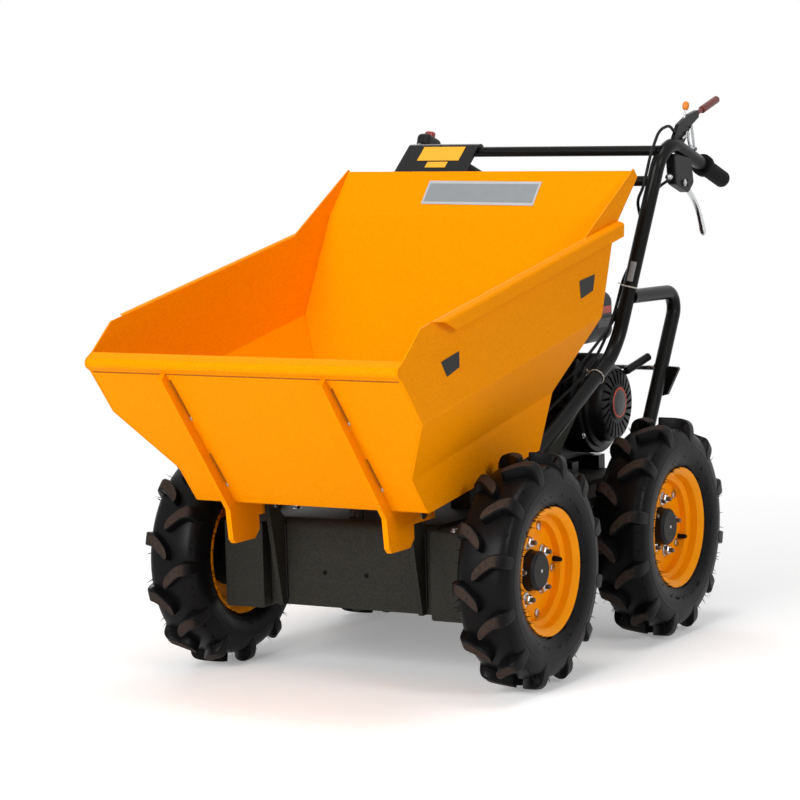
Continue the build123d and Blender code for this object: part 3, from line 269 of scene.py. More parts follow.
def shown(name: str, mesh: bpy.types.Mesh, finish: Finish, crease: float) -> bpy.types.Object:
    """New object of a mesh, smooth up to a crease angle, with its finish.

    Args:
        name: the object's name.
        mesh: its mesh.
        finish: its finish.
        crease: edges sharper than this many degrees stay sharp.

    Returns:
        The object, at the origin.
    """
    mesh.shade_smooth()
    mesh.set_sharp_from_angle(angle=math.radians(crease))
    mesh.materials.append(finish.material())
    obj = linked(name, mesh)
    return obj


def piece(
    name: str, shape: Shape, finish: Finish, body: str, crease: float = 35.0, worn: Array | None = None
) -> bpy.types.Object:
    """New piece of the machine.

    Args:
        name: the piece's name.
        shape: its points and faces, in place.
        finish: its finish.
        body: the body of the frame that it rides on.
        crease: edges sharper than this many degrees stay sharp.
        worn: how worn each point is, from 0 to 1, for finishes that show it.

    Returns:
        The piece's object, at the origin.
    """
    mesh = bpy.data.meshes.new(name)
    mesh.from_pydata(shape[0].tolist(), [], shape[1])
    if worn is not None:
        mesh.attributes.new("worn", "FLOAT", "POINT").data.foreach_set("value", worn.astype(np.float32))
    work = bmesh.new()
    work.from_mesh(mesh)
    bmesh.ops.recalc_face_normals(work, faces=work.faces)
    work.to_mesh(mesh)
    work.free()
    obj = shown(name, mesh, finish, crease)
    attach(obj, body)
    LOG.info("%s: %d faces on %s", name, len(mesh.polygons), body)
    return obj


def soften(finish: Finish, *nodes: str, width: float = 0.8 * MM, segments: int = 2) -> None:
    """Stand-ins for frame nodes: their own surfaces, merged and with their sharp edges rounded.

    Args:
        finish: the finish of the stand-ins.
        nodes: the frame nodes that they replace.
        width: width of the rounding.
        segments: steps of the rounding.
    """
    for node in nodes:
        source = frame["nodes"][node]
        mesh = source.data.copy()
        mesh.name = f"{node}_skin"
        mesh.materials.clear()
        work = bmesh.new()
        work.from_mesh(mesh)
        bmesh.ops.remove_doubles(work, verts=work.verts, dist=MERGE_DISTANCE)
        bmesh.ops.dissolve_limit(
            work,
            angle_limit=math.radians(FLAT_ANGLE),
            use_dissolve_boundaries=False,
            verts=work.verts,
            edges=work.edges,
        )
        work.to_mesh(mesh)
        work.free()
        if "custom_normal" in mesh.attributes:
            mesh.attributes.remove(mesh.attributes["custom_normal"])
        obj = shown(f"{node}_skin", mesh, finish, SKIN_CREASE)
        bevel = obj.modifiers.new("rounded_edges", "BEVEL")
        bevel.width = width
        bevel.segments = segments
        bevel.limit_method = "ANGLE"
        bevel.angle_limit = math.radians(SKIN_CREASE)
        bevel.harden_normals = True
        bevel.use_clamp_overlap = True
        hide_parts(node)
        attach(obj, source["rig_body"])
        LOG.info("%s: skin of %d faces", node, len(mesh.polygons))


# ---------------------------------------------------------------- finishes
def linear(code: str) -> tuple[float, float, float, float]:
    """Linear colour, with a full alpha, of an sRGB hex value such as #1A2B3C."""
    levels = np.array([int(code[i:i + 2], 16) for i in (1, 3, 5)]) / 255
    return (*np.where(levels <= 0.04045, levels / 12.92, ((levels + 0.055) / 1.055) ** 2.4).tolist(), 1.0)


def add_node(tree: Tree, kind: str, inputs: dict | None = None, **settings: object) -> bpy.types.Node:
    """New node with its settings, links and values.

    Args:
        tree: the material's tree.
        kind: the node's type.
        inputs: for each input by name or number, a socket to link or a value to set.
        settings: the node's own options.

    Returns:
        The node.
    """
    node = tree.nodes.new(kind)
    for name, value in settings.items():
        setattr(node, name, value)
    for name, value in (inputs or {}).items():
        if isinstance(value, bpy.types.NodeSocket):
            tree.links.new(value, node.inputs[name])
        else:
            node.inputs[name].default_value = value
    return node


@dataclass(frozen=True)
class Finish:
    """A surface with a fine grain, a slow change of colour and an uneven gloss.

    Sizes are millimetres. The grain lifts the surface by the relief, and the mottle is
    the share of the second colour where the slow change is strongest.
    """

    name: str
    slot: str
    colour: str
    second: str
    roughness: float
    uneven: float = 0.05
    metallic: float = 0.0
    mottle: float = 0.5
    mottle_size: float = 30.0
    grain_size: float = 0.8
    relief: float = 0.02
    coat: float = 0.0
    coat_roughness: float = 0.12
    specular: float = 0.4

    def material(self) -> bpy.types.Material:
        """The finish's material, made once."""
        known = bpy.data.materials.get(self.name)
        if known:
            return known
        made = bpy.data.materials.new(self.name)
        made.use_nodes = True
        tree = made.node_tree
        shader = tree.nodes["Principled BSDF"]
        shader.inputs["Metallic"].default_value = self.metallic
        shader.inputs["Coat Weight"].default_value = self.coat
        shader.inputs["Coat Roughness"].default_value = self.coat_roughness
        if self.metallic < 0.5:
            shader.inputs["Specular IOR Level"].default_value = self.specular
        place = add_node(tree, "ShaderNodeTexCoord").outputs["Object"]
        self.dress(tree, shader, place)
        return made

    def dress(self, tree: Tree, shader: bpy.types.Node, place: Socket) -> None:
        """Links the colour, gloss and relief of the surface.

        Args:
            tree: the material's tree.
            shader: its surface shader.
            place: socket of the object coordinates.
        """
        grain = self.noise(tree, place, self.grain_size, 2.0)
        slow = self.noise(tree, place, self.mottle_size, 4.0)
        tree.links.new(self.tint(tree, slow, grain), shader.inputs["Base Color"])
        low, high = self.roughness - self.uneven, self.roughness + self.uneven
        gloss = add_node(tree, "ShaderNodeMapRange", {"Value": slow, "To Min": low, "To Max": high})
        tree.links.new(gloss.outputs["Result"], shader.inputs["Roughness"])
        lift = {"Height": grain, "Distance": self.relief * MM, "Strength": 1.0}
        bump = add_node(tree, "ShaderNodeBump", lift).outputs["Normal"]
        tree.links.new(bump, shader.inputs["Normal"])

    def noise(self, tree: Tree, place: Socket, size: float, detail: float) -> Socket:
        """Noise, from 0 to 1, whose lumps are about so many millimetres across."""
        inputs = {"Vector": place, "Scale": 1 / (size * MM), "Detail": detail, "Roughness": 0.55}
        return add_node(tree, "ShaderNodeTexNoise", inputs).outputs["Fac"]

    def tint(self, tree: Tree, slow: Socket, grain: Socket) -> Socket:
        """Colour between the two of the finish: the slow change and a touch of the grain.

        Args:
            tree: the material's tree.
            slow: socket of the slow change.
            grain: socket of the grain.

        Returns:
            The socket of the colour.
        """
        both = add_node(tree, "ShaderNodeMath", {0: slow, 1: grain}, operation="ADD").outputs[0]
        span = {"Value": both, "From Min": 0.7, "From Max": 1.3, "To Min": 0.0, "To Max": self.mottle}
        share = add_node(tree, "ShaderNodeMapRange", span).outputs["Result"]
        colours = {0: share, 6: linear(self.colour), 7: linear(self.second)}
        return add_node(tree, "ShaderNodeMix", colours, data_type="RGBA").outputs[2]


@dataclass(frozen=True)
class Film(Finish):
    """Thin printed film: smooth, even and hardly mottled."""

    uneven: float = 0.04
    mottle: float = 0.4
    mottle_size: float = 15.0
    relief: float = 0.01


@dataclass(frozen=True)
class WornRubber(Finish):
    """Tyre rubber whose lug tops are dusty brown, by the piece's "worn" attribute."""

    dust: str = "#3E332D"
    dust_roughness: float = 0.8
    speck_size: float = 6.0

    def dress(self, tree: Tree, shader: bpy.types.Node, place: Socket) -> None:
        """Links the plain rubber first, then lays the dust over its worn tops.

        Args:
            tree: the material's tree.
            shader: its surface shader.
            place: socket of the object coordinates.
        """
        super().dress(tree, shader, place)
        worn = add_node(tree, "ShaderNodeAttribute", attribute_name="worn").outputs["Fac"]
        specks = self.noise(tree, place, self.speck_size, 5.0)
        span = {"Value": specks, "From Min": 0.3, "From Max": 0.6, "To Min": 0.35}
        patchy = add_node(tree, "ShaderNodeMapRange", span).outputs["Result"]
        share = add_node(tree, "ShaderNodeMath", {0: worn, 1: patchy}, operation="MULTIPLY").outputs[0]
        colour, gloss = shader.inputs["Base Color"], shader.inputs["Roughness"]
        colours = {0: share, 6: colour.links[0].from_socket, 7: linear(self.dust)}
        tree.links.new(add_node(tree, "ShaderNodeMix", colours, data_type="RGBA").outputs[2], colour)
        levels = {0: share, 2: gloss.links[0].from_socket, 3: self.dust_roughness}
        tree.links.new(add_node(tree, "ShaderNodeMix", levels).outputs[0], gloss)


# Powder coat over sheet steel: warm orange with a fine orange-peel skin and a soft gloss.
SKIP_PAINT = Finish(
    "orange_powder_coat", "skip_paint", "#FF9E00", "#EA8400",
    roughness=0.45, mottle=0.8, mottle_size=3.0, grain_size=1.7, relief=0.07, specular=0.02,
)
# Stove enamel on pressed rims: the skip's orange, but smoother and glossier.
RIM_PAINT = Finish(
    "orange_wheel_enamel", "rim_paint", "#FF9E00", "#F69200",
    roughness=0.35, mottle=0.4, coat=0.04, specular=0.08,
)
# Textured powder coat on welded plate: charcoal grey, matt, with a sandy grain that catches light.
FRAME_PAINT = Finish(
    "charcoal_textured_coat", "frame_paint", "#32322D", "#1F1F1C",
    roughness=0.6, uneven=0.08, mottle=0.95, mottle_size=3.0, grain_size=2.2, relief=0.12, specular=0.1,
)
# Black enamel on bent tube: deep and semi-gloss.
TUBE_PAINT = Finish(
    "black_tube_enamel", "black_paint", "#151514", "#0E0E0E",
    roughness=0.3, uneven=0.06, mottle_size=60.0, coat=0.02, specular=0.1,
)
# Engine enamel over castings: black with the rough skin of the casting below.
ENGINE_BLACK = Finish(
    "black_engine_enamel", "engine_black", "#171717", "#0E0E0E",
    roughness=0.38, uneven=0.08, mottle=0.6, mottle_size=25.0, grain_size=1.5, relief=0.05, specular=0.15,
)
# As-cast aluminium: pale grey metal, dull and grainy.
CAST_ALLOY = Finish(
    "cast_aluminium", "engine_alloy", "#8F9092", "#6F7072",
    roughness=0.48, uneven=0.1, metallic=0.9, mottle=0.7, mottle_size=22.0, grain_size=1.2, relief=0.1,
)
# Gearbox casting under a dark grey primer: matt, with the sand-cast skin.
CAST_DARK = Finish(
    "primed_iron_casting", "engine_alloy", "#3A3B3C", "#2A2B2B",
    roughness=0.55, uneven=0.08, metallic=0.2, mottle=0.7, mottle_size=18.0, grain_size=1.6, relief=0.12,
)
# Moulded black rubber of the tyres: near black with a soft sheen, dusty on the worn tops.
TYRE_RUBBER = WornRubber(
    "moulded_tyre_rubber", "tyre_rubber", "#101011", "#0A0A0B",
    roughness=0.34, uneven=0.1, mottle=0.8, mottle_size=35.0, grain_size=1.2, relief=0.05, specular=0.08,
)
# Foam rubber grips: matt black with tiny closed cells.
GRIP_RUBBER = Finish(
    "foam_grip_rubber", "grip_rubber", "#171717", "#101010",
    roughness=0.7, uneven=0.06, mottle=0.6, mottle_size=15.0, grain_size=1.0, relief=0.12, specular=0.08,
)
# Moulded black plastic: charcoal black with a fine spark-eroded texture.
BLACK_PLASTIC = Finish(
    "moulded_black_plastic", "black_plastic", "#181818", "#101010",
    roughness=0.42, uneven=0.06, grain_size=0.9, relief=0.04, specular=0.15,
)
# Dark red moulded plastic of the stop knob: smooth and glossy.
RED_PLASTIC = Finish(
    "dark_red_plastic", "red_plastic", "#9A2A22", "#7E201A", roughness=0.3, mottle_size=15.0, coat=0.3,
)
# Brownish red dipped vinyl of the drive lever: softer than the knob.
RED_VINYL = Finish(
    "brown_red_vinyl", "red_plastic", "#6E2A22", "#54201A",
    roughness=0.42, uneven=0.06, mottle_size=15.0, relief=0.03,
)
# Orange moulded plastic of the throttle knob: bright and smooth.
ORANGE_PLASTIC = Finish(
    "orange_plastic", "red_plastic", "#E8820C", "#D27208",
    roughness=0.32, uneven=0.04, mottle_size=15.0, coat=0.2,
)
# Zinc plated steel: bright, faintly blue-grey, with a soft scatter.
ZINC = Finish(
    "zinc_plated_steel", "bright_steel", "#C6C8CA", "#A2A4A6",
    roughness=0.28, uneven=0.08, metallic=1.0, mottle=0.7, mottle_size=12.0, grain_size=0.7,
)
# Polished lever alloy: brighter and smoother than the zinc.
POLISHED = Finish(
    "polished_alloy", "bright_steel", "#DADBDC", "#BFC0C2",
    roughness=0.2, uneven=0.06, metallic=1.0, mottle_size=25.0, grain_size=0.7, relief=0.01,
)
# Oxidised steel of the stud ends and the latch spring: dull brown-grey metal.
DARK_STEEL = Finish(
    "oiled_dark_steel", "bright_steel", "#6A6560", "#4A4642",
    roughness=0.42, uneven=0.1, metallic=0.9, mottle=0.7, mottle_size=8.0, relief=0.03,
)
# Black vinyl film of the side stripes: matt and very slightly raised.
BLACK_FILM = Film(
    "matt_black_film", "black_plastic", "#1E1D1C", "#181716",
    roughness=0.45, mottle_size=40.0, grain_size=1.2, specular=0.15,
)
# Silver polyester film of the blank plate: pale grey with a faint metallic sheen.
SILVER_FILM = Finish(
    "silver_polyester_film", "bright_steel", "#B9BCBE", "#A7AAAC",
    roughness=0.4, metallic=0.35, grain_size=1.0, relief=0.01,
)
# Grey print field of the blank plate: duller than its border.
PLATE_FILM = Finish(
    "grey_plate_field", "bright_steel", "#8D9294", "#7C8183",
    roughness=0.42, metallic=0.2, mottle_size=20.0, grain_size=1.0, relief=0.01,
)
# Dark brown-orange and rough: the rib welds drawn darker than the skip, and the painted shadow line in the gap
# under the lip.
WELD_AND_SHADOW_PAINT = Finish(
    "baked_weld_paint", "skip_paint", "#B06200", "#7E4400",
    roughness=0.55, uneven=0.1, mottle=0.8, mottle_size=5.0, grain_size=1.0, relief=0.1, specular=0.2,
)
# Yellow vinyl film of the console's blank labels: strong and slightly glossy.
YELLOW_FILM = Film(
    "yellow_vinyl_film", "black_plastic", "#F5B200", "#E9A600",
    roughness=0.38, mottle_size=30.0, grain_size=1.0,
)
# Orange-red film: the ring of the starter's badge and the band of the tank's label.
RED_FILM = Film("orange_red_film", "red_plastic", "#D2482A", "#BC3C22", roughness=0.36)
# Grey film of the blank parts of labels: dull and smooth.
GREY_FILM = Film("grey_label_film", "black_plastic", "#4A4A4B", "#3E3E3F", roughness=0.42)
# Pale nylon of the cable ties: cloudy off-white.
NYLON = Finish("natural_nylon", "black_plastic", "#C9C6BC", "#B4B1A6", roughness=0.45, mottle_size=8.0)


# ---------------------------------------------------------------- small shapes
def line(start: Place | Array, end: Place | Array, count: int = 2) -> Array:
    """Evenly spaced points from start to end."""
    return np.linspace(np.array(start, float), np.array(end, float), count)


def rounded(points: Array, passes: int = 2, closed: bool = True) -> Array:
    """Line with its corners cut: each pass puts two points at a quarter and three quarters of each run.

    Args:
        points: (n, k) corners.
        passes: how many times the corners are cut.
        closed: the line is a loop, otherwise its two ends stay.

    Returns:
        The smoother line.
    """
    corners = np.asarray(points, float)
    for _ in range(passes):
        after = np.roll(corners, -1, axis=0)
        cut = np.stack([0.75 * corners + 0.25 * after, 0.25 * corners + 0.75 * after], axis=1)
        if closed:
            corners = cut.reshape(-1, corners.shape[1])
        else:
            inner = cut[:-1].reshape(-1, corners.shape[1])[1:-1]
            corners = np.concatenate([corners[:1], inner, corners[-1:]])
    return corners


def lengths(points: Array) -> Array:
    """Length of the line up to each of its points."""
    return np.concatenate([[0.0], np.cumsum(np.linalg.norm(np.diff(points, axis=0), axis=1))])


def even(points: Array, count: int) -> Array:
    """The line through the points at evenly spaced lengths.

    Args:
        points: (n, k) points of the line.
        count: how many points are wanted.

    Returns:
        (count, k) points.
    """
    reach = lengths(points)
    wanted = np.linspace(0, reach[-1], count)
    return np.column_stack([np.interp(wanted, reach, points[:, k]) for k in range(points.shape[1])])


def disc(radius: float, thickness: float, edge: float, segments: int = 32) -> Shape:
    """Round plate along +X from its seat at 0.

    Args:
        radius: outer radius.
        thickness: length along X.
        edge: width of the rounding at its outer end.
        segments: steps round the axis.

    Returns:
        Points and faces of the closed plate.
    """
    profile = [(0, radius), (thickness - edge, radius), (thickness - edge * 0.3, radius - edge * 0.3)]
    profile += [(thickness, radius - edge), (thickness, radius * 0.3), (thickness, 1e-5)]
    return lathe(np.array(profile), segments)


def bolt(radius: float, height: float, stud: float = 0.0) -> Shape:
    """Nut or bolt head along +X on its washer: a cylinder of six segments, drawn in at both ends.

    Args:
        radius: radius over the head's corners.
        height: height of the head over its seat.
        stud: how far the stud stands out of it.

    Returns:
        Points and faces of the washer, the head and the stud.
    """
    seat = height * 0.18
    head = [(seat, radius * 0.96), (seat + height * 0.12, radius)]
    head += [(height * 0.8, radius), (height, radius * 0.82)]
    shapes = [disc(radius * 1.35, seat, height * 0.06), lathe(np.array(head), 6)]
    if stud > 0:
        shank = [(seat, radius * 0.5), (height + stud * 0.8, radius * 0.5), (height + stud, radius * 0.38)]
        shapes.append(lathe(np.array(shank), 16))
    return joined(shapes)


def weld(start: Place | Array, end: Place | Array, radius: float = 2.4 * MM) -> Shape:
    """Weld bead: a tube whose radius swells once each ripple, as radius * (1 + 0.16 |sin(pi s / ripple)|).

    Args:
        start: one end, in metres.
        end: the other end.
        radius: radius between the ripples, less towards both ends.

    Returns:
        Points and faces of the bead.
    """
    ripple = 2.4 * MM
    length = float(np.linalg.norm(np.array(end, float) - np.array(start, float)))
    count = max(int(length / ripple * 4), 8)
    reach = np.linspace(0, length, count)
    swell = 1 + 0.16 * np.abs(np.sin(np.pi * reach / ripple))
    ends = np.clip(np.minimum(reach, length - reach) / radius, 0.15, 1.0) ** 0.5
    return tube(line(start, end, count), radius * swell * ends, 8)


def spikes(roots: Array, tips: Array, radius: float) -> Shape:
    """Thin four-sided spikes, all worked out at once.

    Args:
        roots: (n, 3) middles of their bases.
        tips: (n, 3) points.
        radius: half the width of a base.

    Returns:
        Points and faces of all the spikes.
    """
    ahead = unit(tips - roots)
    across = unit(np.cross(ahead, np.array([0.31, 0.52, 0.79])))
    upward = np.cross(across, ahead)
    rings = [roots + radius * side for side in (across, upward, -across, -upward)]
    points = np.stack([*rings, tips], axis=1).reshape(-1, 3)
    first = np.arange(len(roots))[:, None] * 5
    sides = np.concatenate([first + np.array([[a, b, 4]]) for a, b in ((0, 1), (1, 2), (2, 3), (3, 0))])
    bases = first + np.array([[3, 2, 1, 0]])
    return points, sides.tolist() + bases.tolist()


def sticker(corners: Array, thickness: float = 0.3 * MM) -> Shape:
    """Thin film on a flat place.

    Args:
        corners: its four corners, counter-clockwise as seen.
        thickness: how far it stands off the surface.

    Returns:
        Points and faces of the closed film.
    """
    normal = unit(np.cross(corners[1] - corners[0], corners[3] - corners[0]))
    points = np.concatenate([corners, corners + normal * thickness])
    faces = [[3, 2, 1, 0], [4, 5, 6, 7]] + [[i, (i + 1) % 4, 4 + (i + 1) % 4, 4 + i] for i in range(4)]
    return points, faces


class Assembly:
    """Group of pieces that ride on one body, the chassis unless it says otherwise."""

    body = Body.CHASSIS.value

    def add(self, name: str, shape: Shape, finish: Finish, **options: object) -> bpy.types.Object:
        """New piece on the group's body."""
        return piece(name, shape, finish, self.body, **options)


# ---------------------------------------------------------------- wheels
@dataclass
class Wheel(Assembly):
    """One wheel: its lugged tyre, pressed rim, hub cap, studs and valve.

    Places on the wheel are x outwards from the tyre's middle and radius, in millimetres,
    and turns are degrees.
    """

    corner: str
    side: Side
    turn: float
    lugs: int = 12
    lug_radius: float = 208.0
    lug_height: float = 22.0
    lug_sweep: float = 26.0
    lug_bend: float = 40.0
    lug_fall: float = 58.0
    end_power: float = 2.6
    wall_reach: float = 52.4
    segments: int = 144
    seed: int = 3
    # each row of hairs: how many, x and radius of the roots, and how far their tips lean out and away
    hair_rows: tuple[tuple[float, ...], ...] = (
        (72, 40.2, 116.5, 1.0, -0.22), (48, 49.8, 139.0, 0.18, -0.9), (52, 43.0, 184.0, 0.5, 1.0),
    )
    disc_x: float = 2.0
    nut_circle: float = 53.0
    rivet_circle: float = 81.0
    valve_circle: float = 88.0

    def build(self) -> None:
        """Makes the tyre, rim, hub and fastenings."""
        self.tyre()
        self.hairs()
        soften(RIM_PAINT, f"{self.corner}_rim")
        soften(BLACK_PLASTIC, f"{self.corner}_hub")
        self.fastenings()

    @property
    def body(self) -> str:
        """The wheel's own body."""
        return f"{self.corner}_wheel"

    def fit(self, name: str, shape: Shape, finish: Finish, **options: object) -> bpy.types.Object:
        """New piece from a shape in wheel millimetres, carried to its place and mirrored on the right.

        Args:
            name: the piece's name, without the wheel's.
            shape: its points and faces.
            finish: its finish.
            options: what else the piece is given.

        Returns:
            The piece's object.
        """
        points, faces = shape
        points = points * MM
        if self.side is Side.RIGHT:
            points, faces = mirrored((points, faces))
        placed = points + joint_place(f"{self.corner}_spin"), faces
        return self.add(f"{self.corner}_{name}", placed, finish, **options)

    def carcass(self) -> Shape:
        """Tyre without its lugs: a rounded section turned round the axle, with two thin ribs on each wall.

        Each rib adds height * exp(-((r - place) / width)^2) to the wall.
        """
        half = [(0, 101.5), (18, 102), (33, 103), (37, 107), (40, 115), (49, 129)]
        half += [(53, 150), (51, 174), (42, 186), (24, 190), (0, 190.5)]
        loop = rounded(np.array(half + [(-x, r) for x, r in half[-2:0:-1]], float), 3)
        loop = even(np.concatenate([loop, loop[:1]]), 150)[:-1]
        wall = np.abs(loop[:, 0]) > 25
        for height, place, width in ((0.9, 120, 1.8), (0.5, 158, 1.6)):
            rib = height * np.exp(-(((loop[:, 1] - place) / width) ** 2))
            loop[:, 0] += np.sign(loop[:, 0]) * rib * wall
        return lathe(loop, self.segments, closed=True)

    def lug_path(self) -> tuple[Array, Array, Array, Array]:
        """Outer line that every lug follows, from the middle of the tread down the wall.

        Returns:
            Length outwards from the middle, and x, radius and outward normal there.
        """
        edge = [(-12, 208), (-4, 208), (30, 208), (41, 205.5), (48, 198), (51.6, 184), (self.wall_reach, 164)]
        edge = even(rounded(np.array(edge, float), 2, closed=False), 120)
        steps = lengths(edge)
        steps -= np.interp(0.0, edge[:, 0], steps)
        low, high = -5.0, float(steps[-1])
        share = np.linspace(0, 1, 30)
        q = low + (high - low) * (share - np.sin(2 * np.pi * share) / (2 * np.pi) * 0.75)
        x, r = np.interp(q, steps, edge[:, 0]), np.interp(q, steps, edge[:, 1])
        slope_x, slope_r = np.gradient(x, q), np.gradient(r, q)
        return q, x, r, np.stack([-slope_r, slope_x]) / np.hypot(slope_x, slope_r)

    def lug_shapes(self) -> tuple[Shape, Array]:
        """All lugs: a section carried along the outer line, turned round the axle.

        At the length q the lug's middle lies sweep * sin(pi/2 min(q / bend, 1)) - 3 round the
        tyre, and its half width grows from 8.5 to 13. Both ends close as a superellipse.

        Returns:
            Points and faces of all the lugs, and how worn each point is.
        """
        q, x, r, normal = self.lug_path()
        low, high = q[0], q[-1]
        run = np.clip(q / self.lug_bend, -0.3, 1.0)
        middle = self.lug_sweep * np.sin(np.pi / 2 * run) - 3
        slope = self.lug_sweep * np.pi / 2 / self.lug_bend * np.cos(np.pi / 2 * run)
        lean = np.where(q < self.lug_bend, slope, 0.0)
        nose = 1 - np.clip(1 - (q - low) / 10, 0, 1) ** self.end_power
        heel = 1 - np.clip(1 - (high - q) / 12, 0, 1) ** self.end_power
        half_width = (8.5 + 4.5 * np.clip(q / 45, 0, 1)) * np.sqrt(1 + lean**2)
        half_width = half_width * (nose * heel) ** (1 / self.end_power)
        fall = 1 - 0.75 * np.clip((q - self.lug_fall) / (high - self.lug_fall), 0, 1)
        height = self.lug_height * fall * (0.9 + 0.1 * nose)
        half = [(1.22, 0), (1.12, 0.45), (1.03, 0.82), (0.96, 0.94), (0.86, 0.99), (0.7, 1), (0.3, 1)]
        across, up = np.array([(-wide, tall) for wide, tall in half] + half[::-1], float).T
        depth = (up - 1) * height[:, None]
        along = middle[:, None] + across * half_width[:, None]
        out_x = x[:, None] + normal[0][:, None] * depth
        out_r = r[:, None] + normal[1][:, None] * depth
        faces = capped(len(q), len(across))
        worn = (up > 0.995) * np.clip((44 - q[:, None]) / 10, 0, 1)
        shapes = []
        for sign in (1, -1):
            for number in range(self.lugs):
                angle = 2 * np.pi / self.lugs * (number - sign / 4) - along / self.lug_radius
                points = np.stack([sign * out_x, -out_r * np.sin(angle), out_r * np.cos(angle)], axis=-1)
                shapes.append((points.reshape(-1, 3), faces))
        return joined(shapes), np.tile(worn.reshape(-1), len(shapes))

    def tyre(self) -> None:
        """The tyre, which stands for the frame's one."""
        carcass = self.carcass()
        lugs, worn = self.lug_shapes()
        worn = np.concatenate([np.zeros(len(carcass[0])), worn])
        obj = self.fit("tyre_rubber", joined([carcass, lugs]), TYRE_RUBBER, crease=50, worn=worn)
        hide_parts(f"{self.corner}_tyre")

    def hairs(self) -> None:
        """Moulding hairs on both walls, near the bead and on the shoulders, with drawn places."""
        draw = np.random.default_rng(self.seed + len(self.corner))
        rows = np.array(self.hair_rows)
        x, r, lean, fall = np.repeat(rows[:, 1:], rows[:, 0].astype(int), axis=0).T
        r = r + draw.uniform(-1.5, 1.5, len(r))
        angle = draw.uniform(0, 2 * np.pi, len(r))
        length = draw.uniform(9, 14, len(r))
        twist = draw.uniform(-0.4, 0.4, len(r)) * length
        roots = np.column_stack([x, r * np.cos(angle), r * np.sin(angle)])
        far = r + fall * length
        turned = angle + twist / r
        reach = np.minimum(x + lean * length, self.wall_reach)
        tips = np.column_stack([reach, far * np.cos(turned), far * np.sin(turned)])
        flip = np.array([-1.0, 1.0, -1.0])
        both = spikes(np.concatenate([roots, roots * flip]), np.concatenate([tips, tips * flip]), 1.0)
        self.fit("tyre_hairs", both, TYRE_RUBBER)

    def round_the_hub(self, shape: Shape, radius: float, first: float) -> Shape:
        """Five copies of a shape on a circle of the rim's disc, from the first one's turn on."""
        angles = [math.radians(first + 72 * number) for number in range(5)]
        return joined(
            [moved(shape, (self.disc_x, radius * math.cos(a), radius * math.sin(a))) for a in angles]
        )

    def fastenings(self) -> None:
        """Wheel nuts on their studs, flat rivet heads, the valve and the cap's centre screw."""
        self.fit("nuts", self.round_the_hub(bolt(9.6, 10.5), self.nut_circle, self.turn), ZINC)
        stud = lathe(np.array([(9.0, 4.2), (17.0, 4.2), (18.5, 3.4)]), 16)
        self.fit("studs", self.round_the_hub(stud, self.nut_circle, self.turn), DARK_STEEL)
        rivet = disc(8.0, 3.2, 1.6, 24)
        self.fit("rivets", self.round_the_hub(rivet, self.rivet_circle, self.turn + 36), ZINC)
        self.fit("cap_screw", moved(disc(3.2, 2.0, 0.8, 16), (23.0, 0, 0)), ZINC)
        angle = math.radians(self.turn - 26)
        out = np.array([0.0, math.cos(angle), math.sin(angle)])
        foot = np.array([3.0, 0.0, 0.0]) + self.valve_circle * out
        tip = foot + np.array([17.0, 0.0, 0.0]) - 3 * out
        radii = np.array([5.2, 5.0, 4.6, 4.6, 4.0, 4.0, 3.4])
        self.fit("valve", tube(line(foot, tip, len(radii)), radii, 16), GRIP_RUBBER)


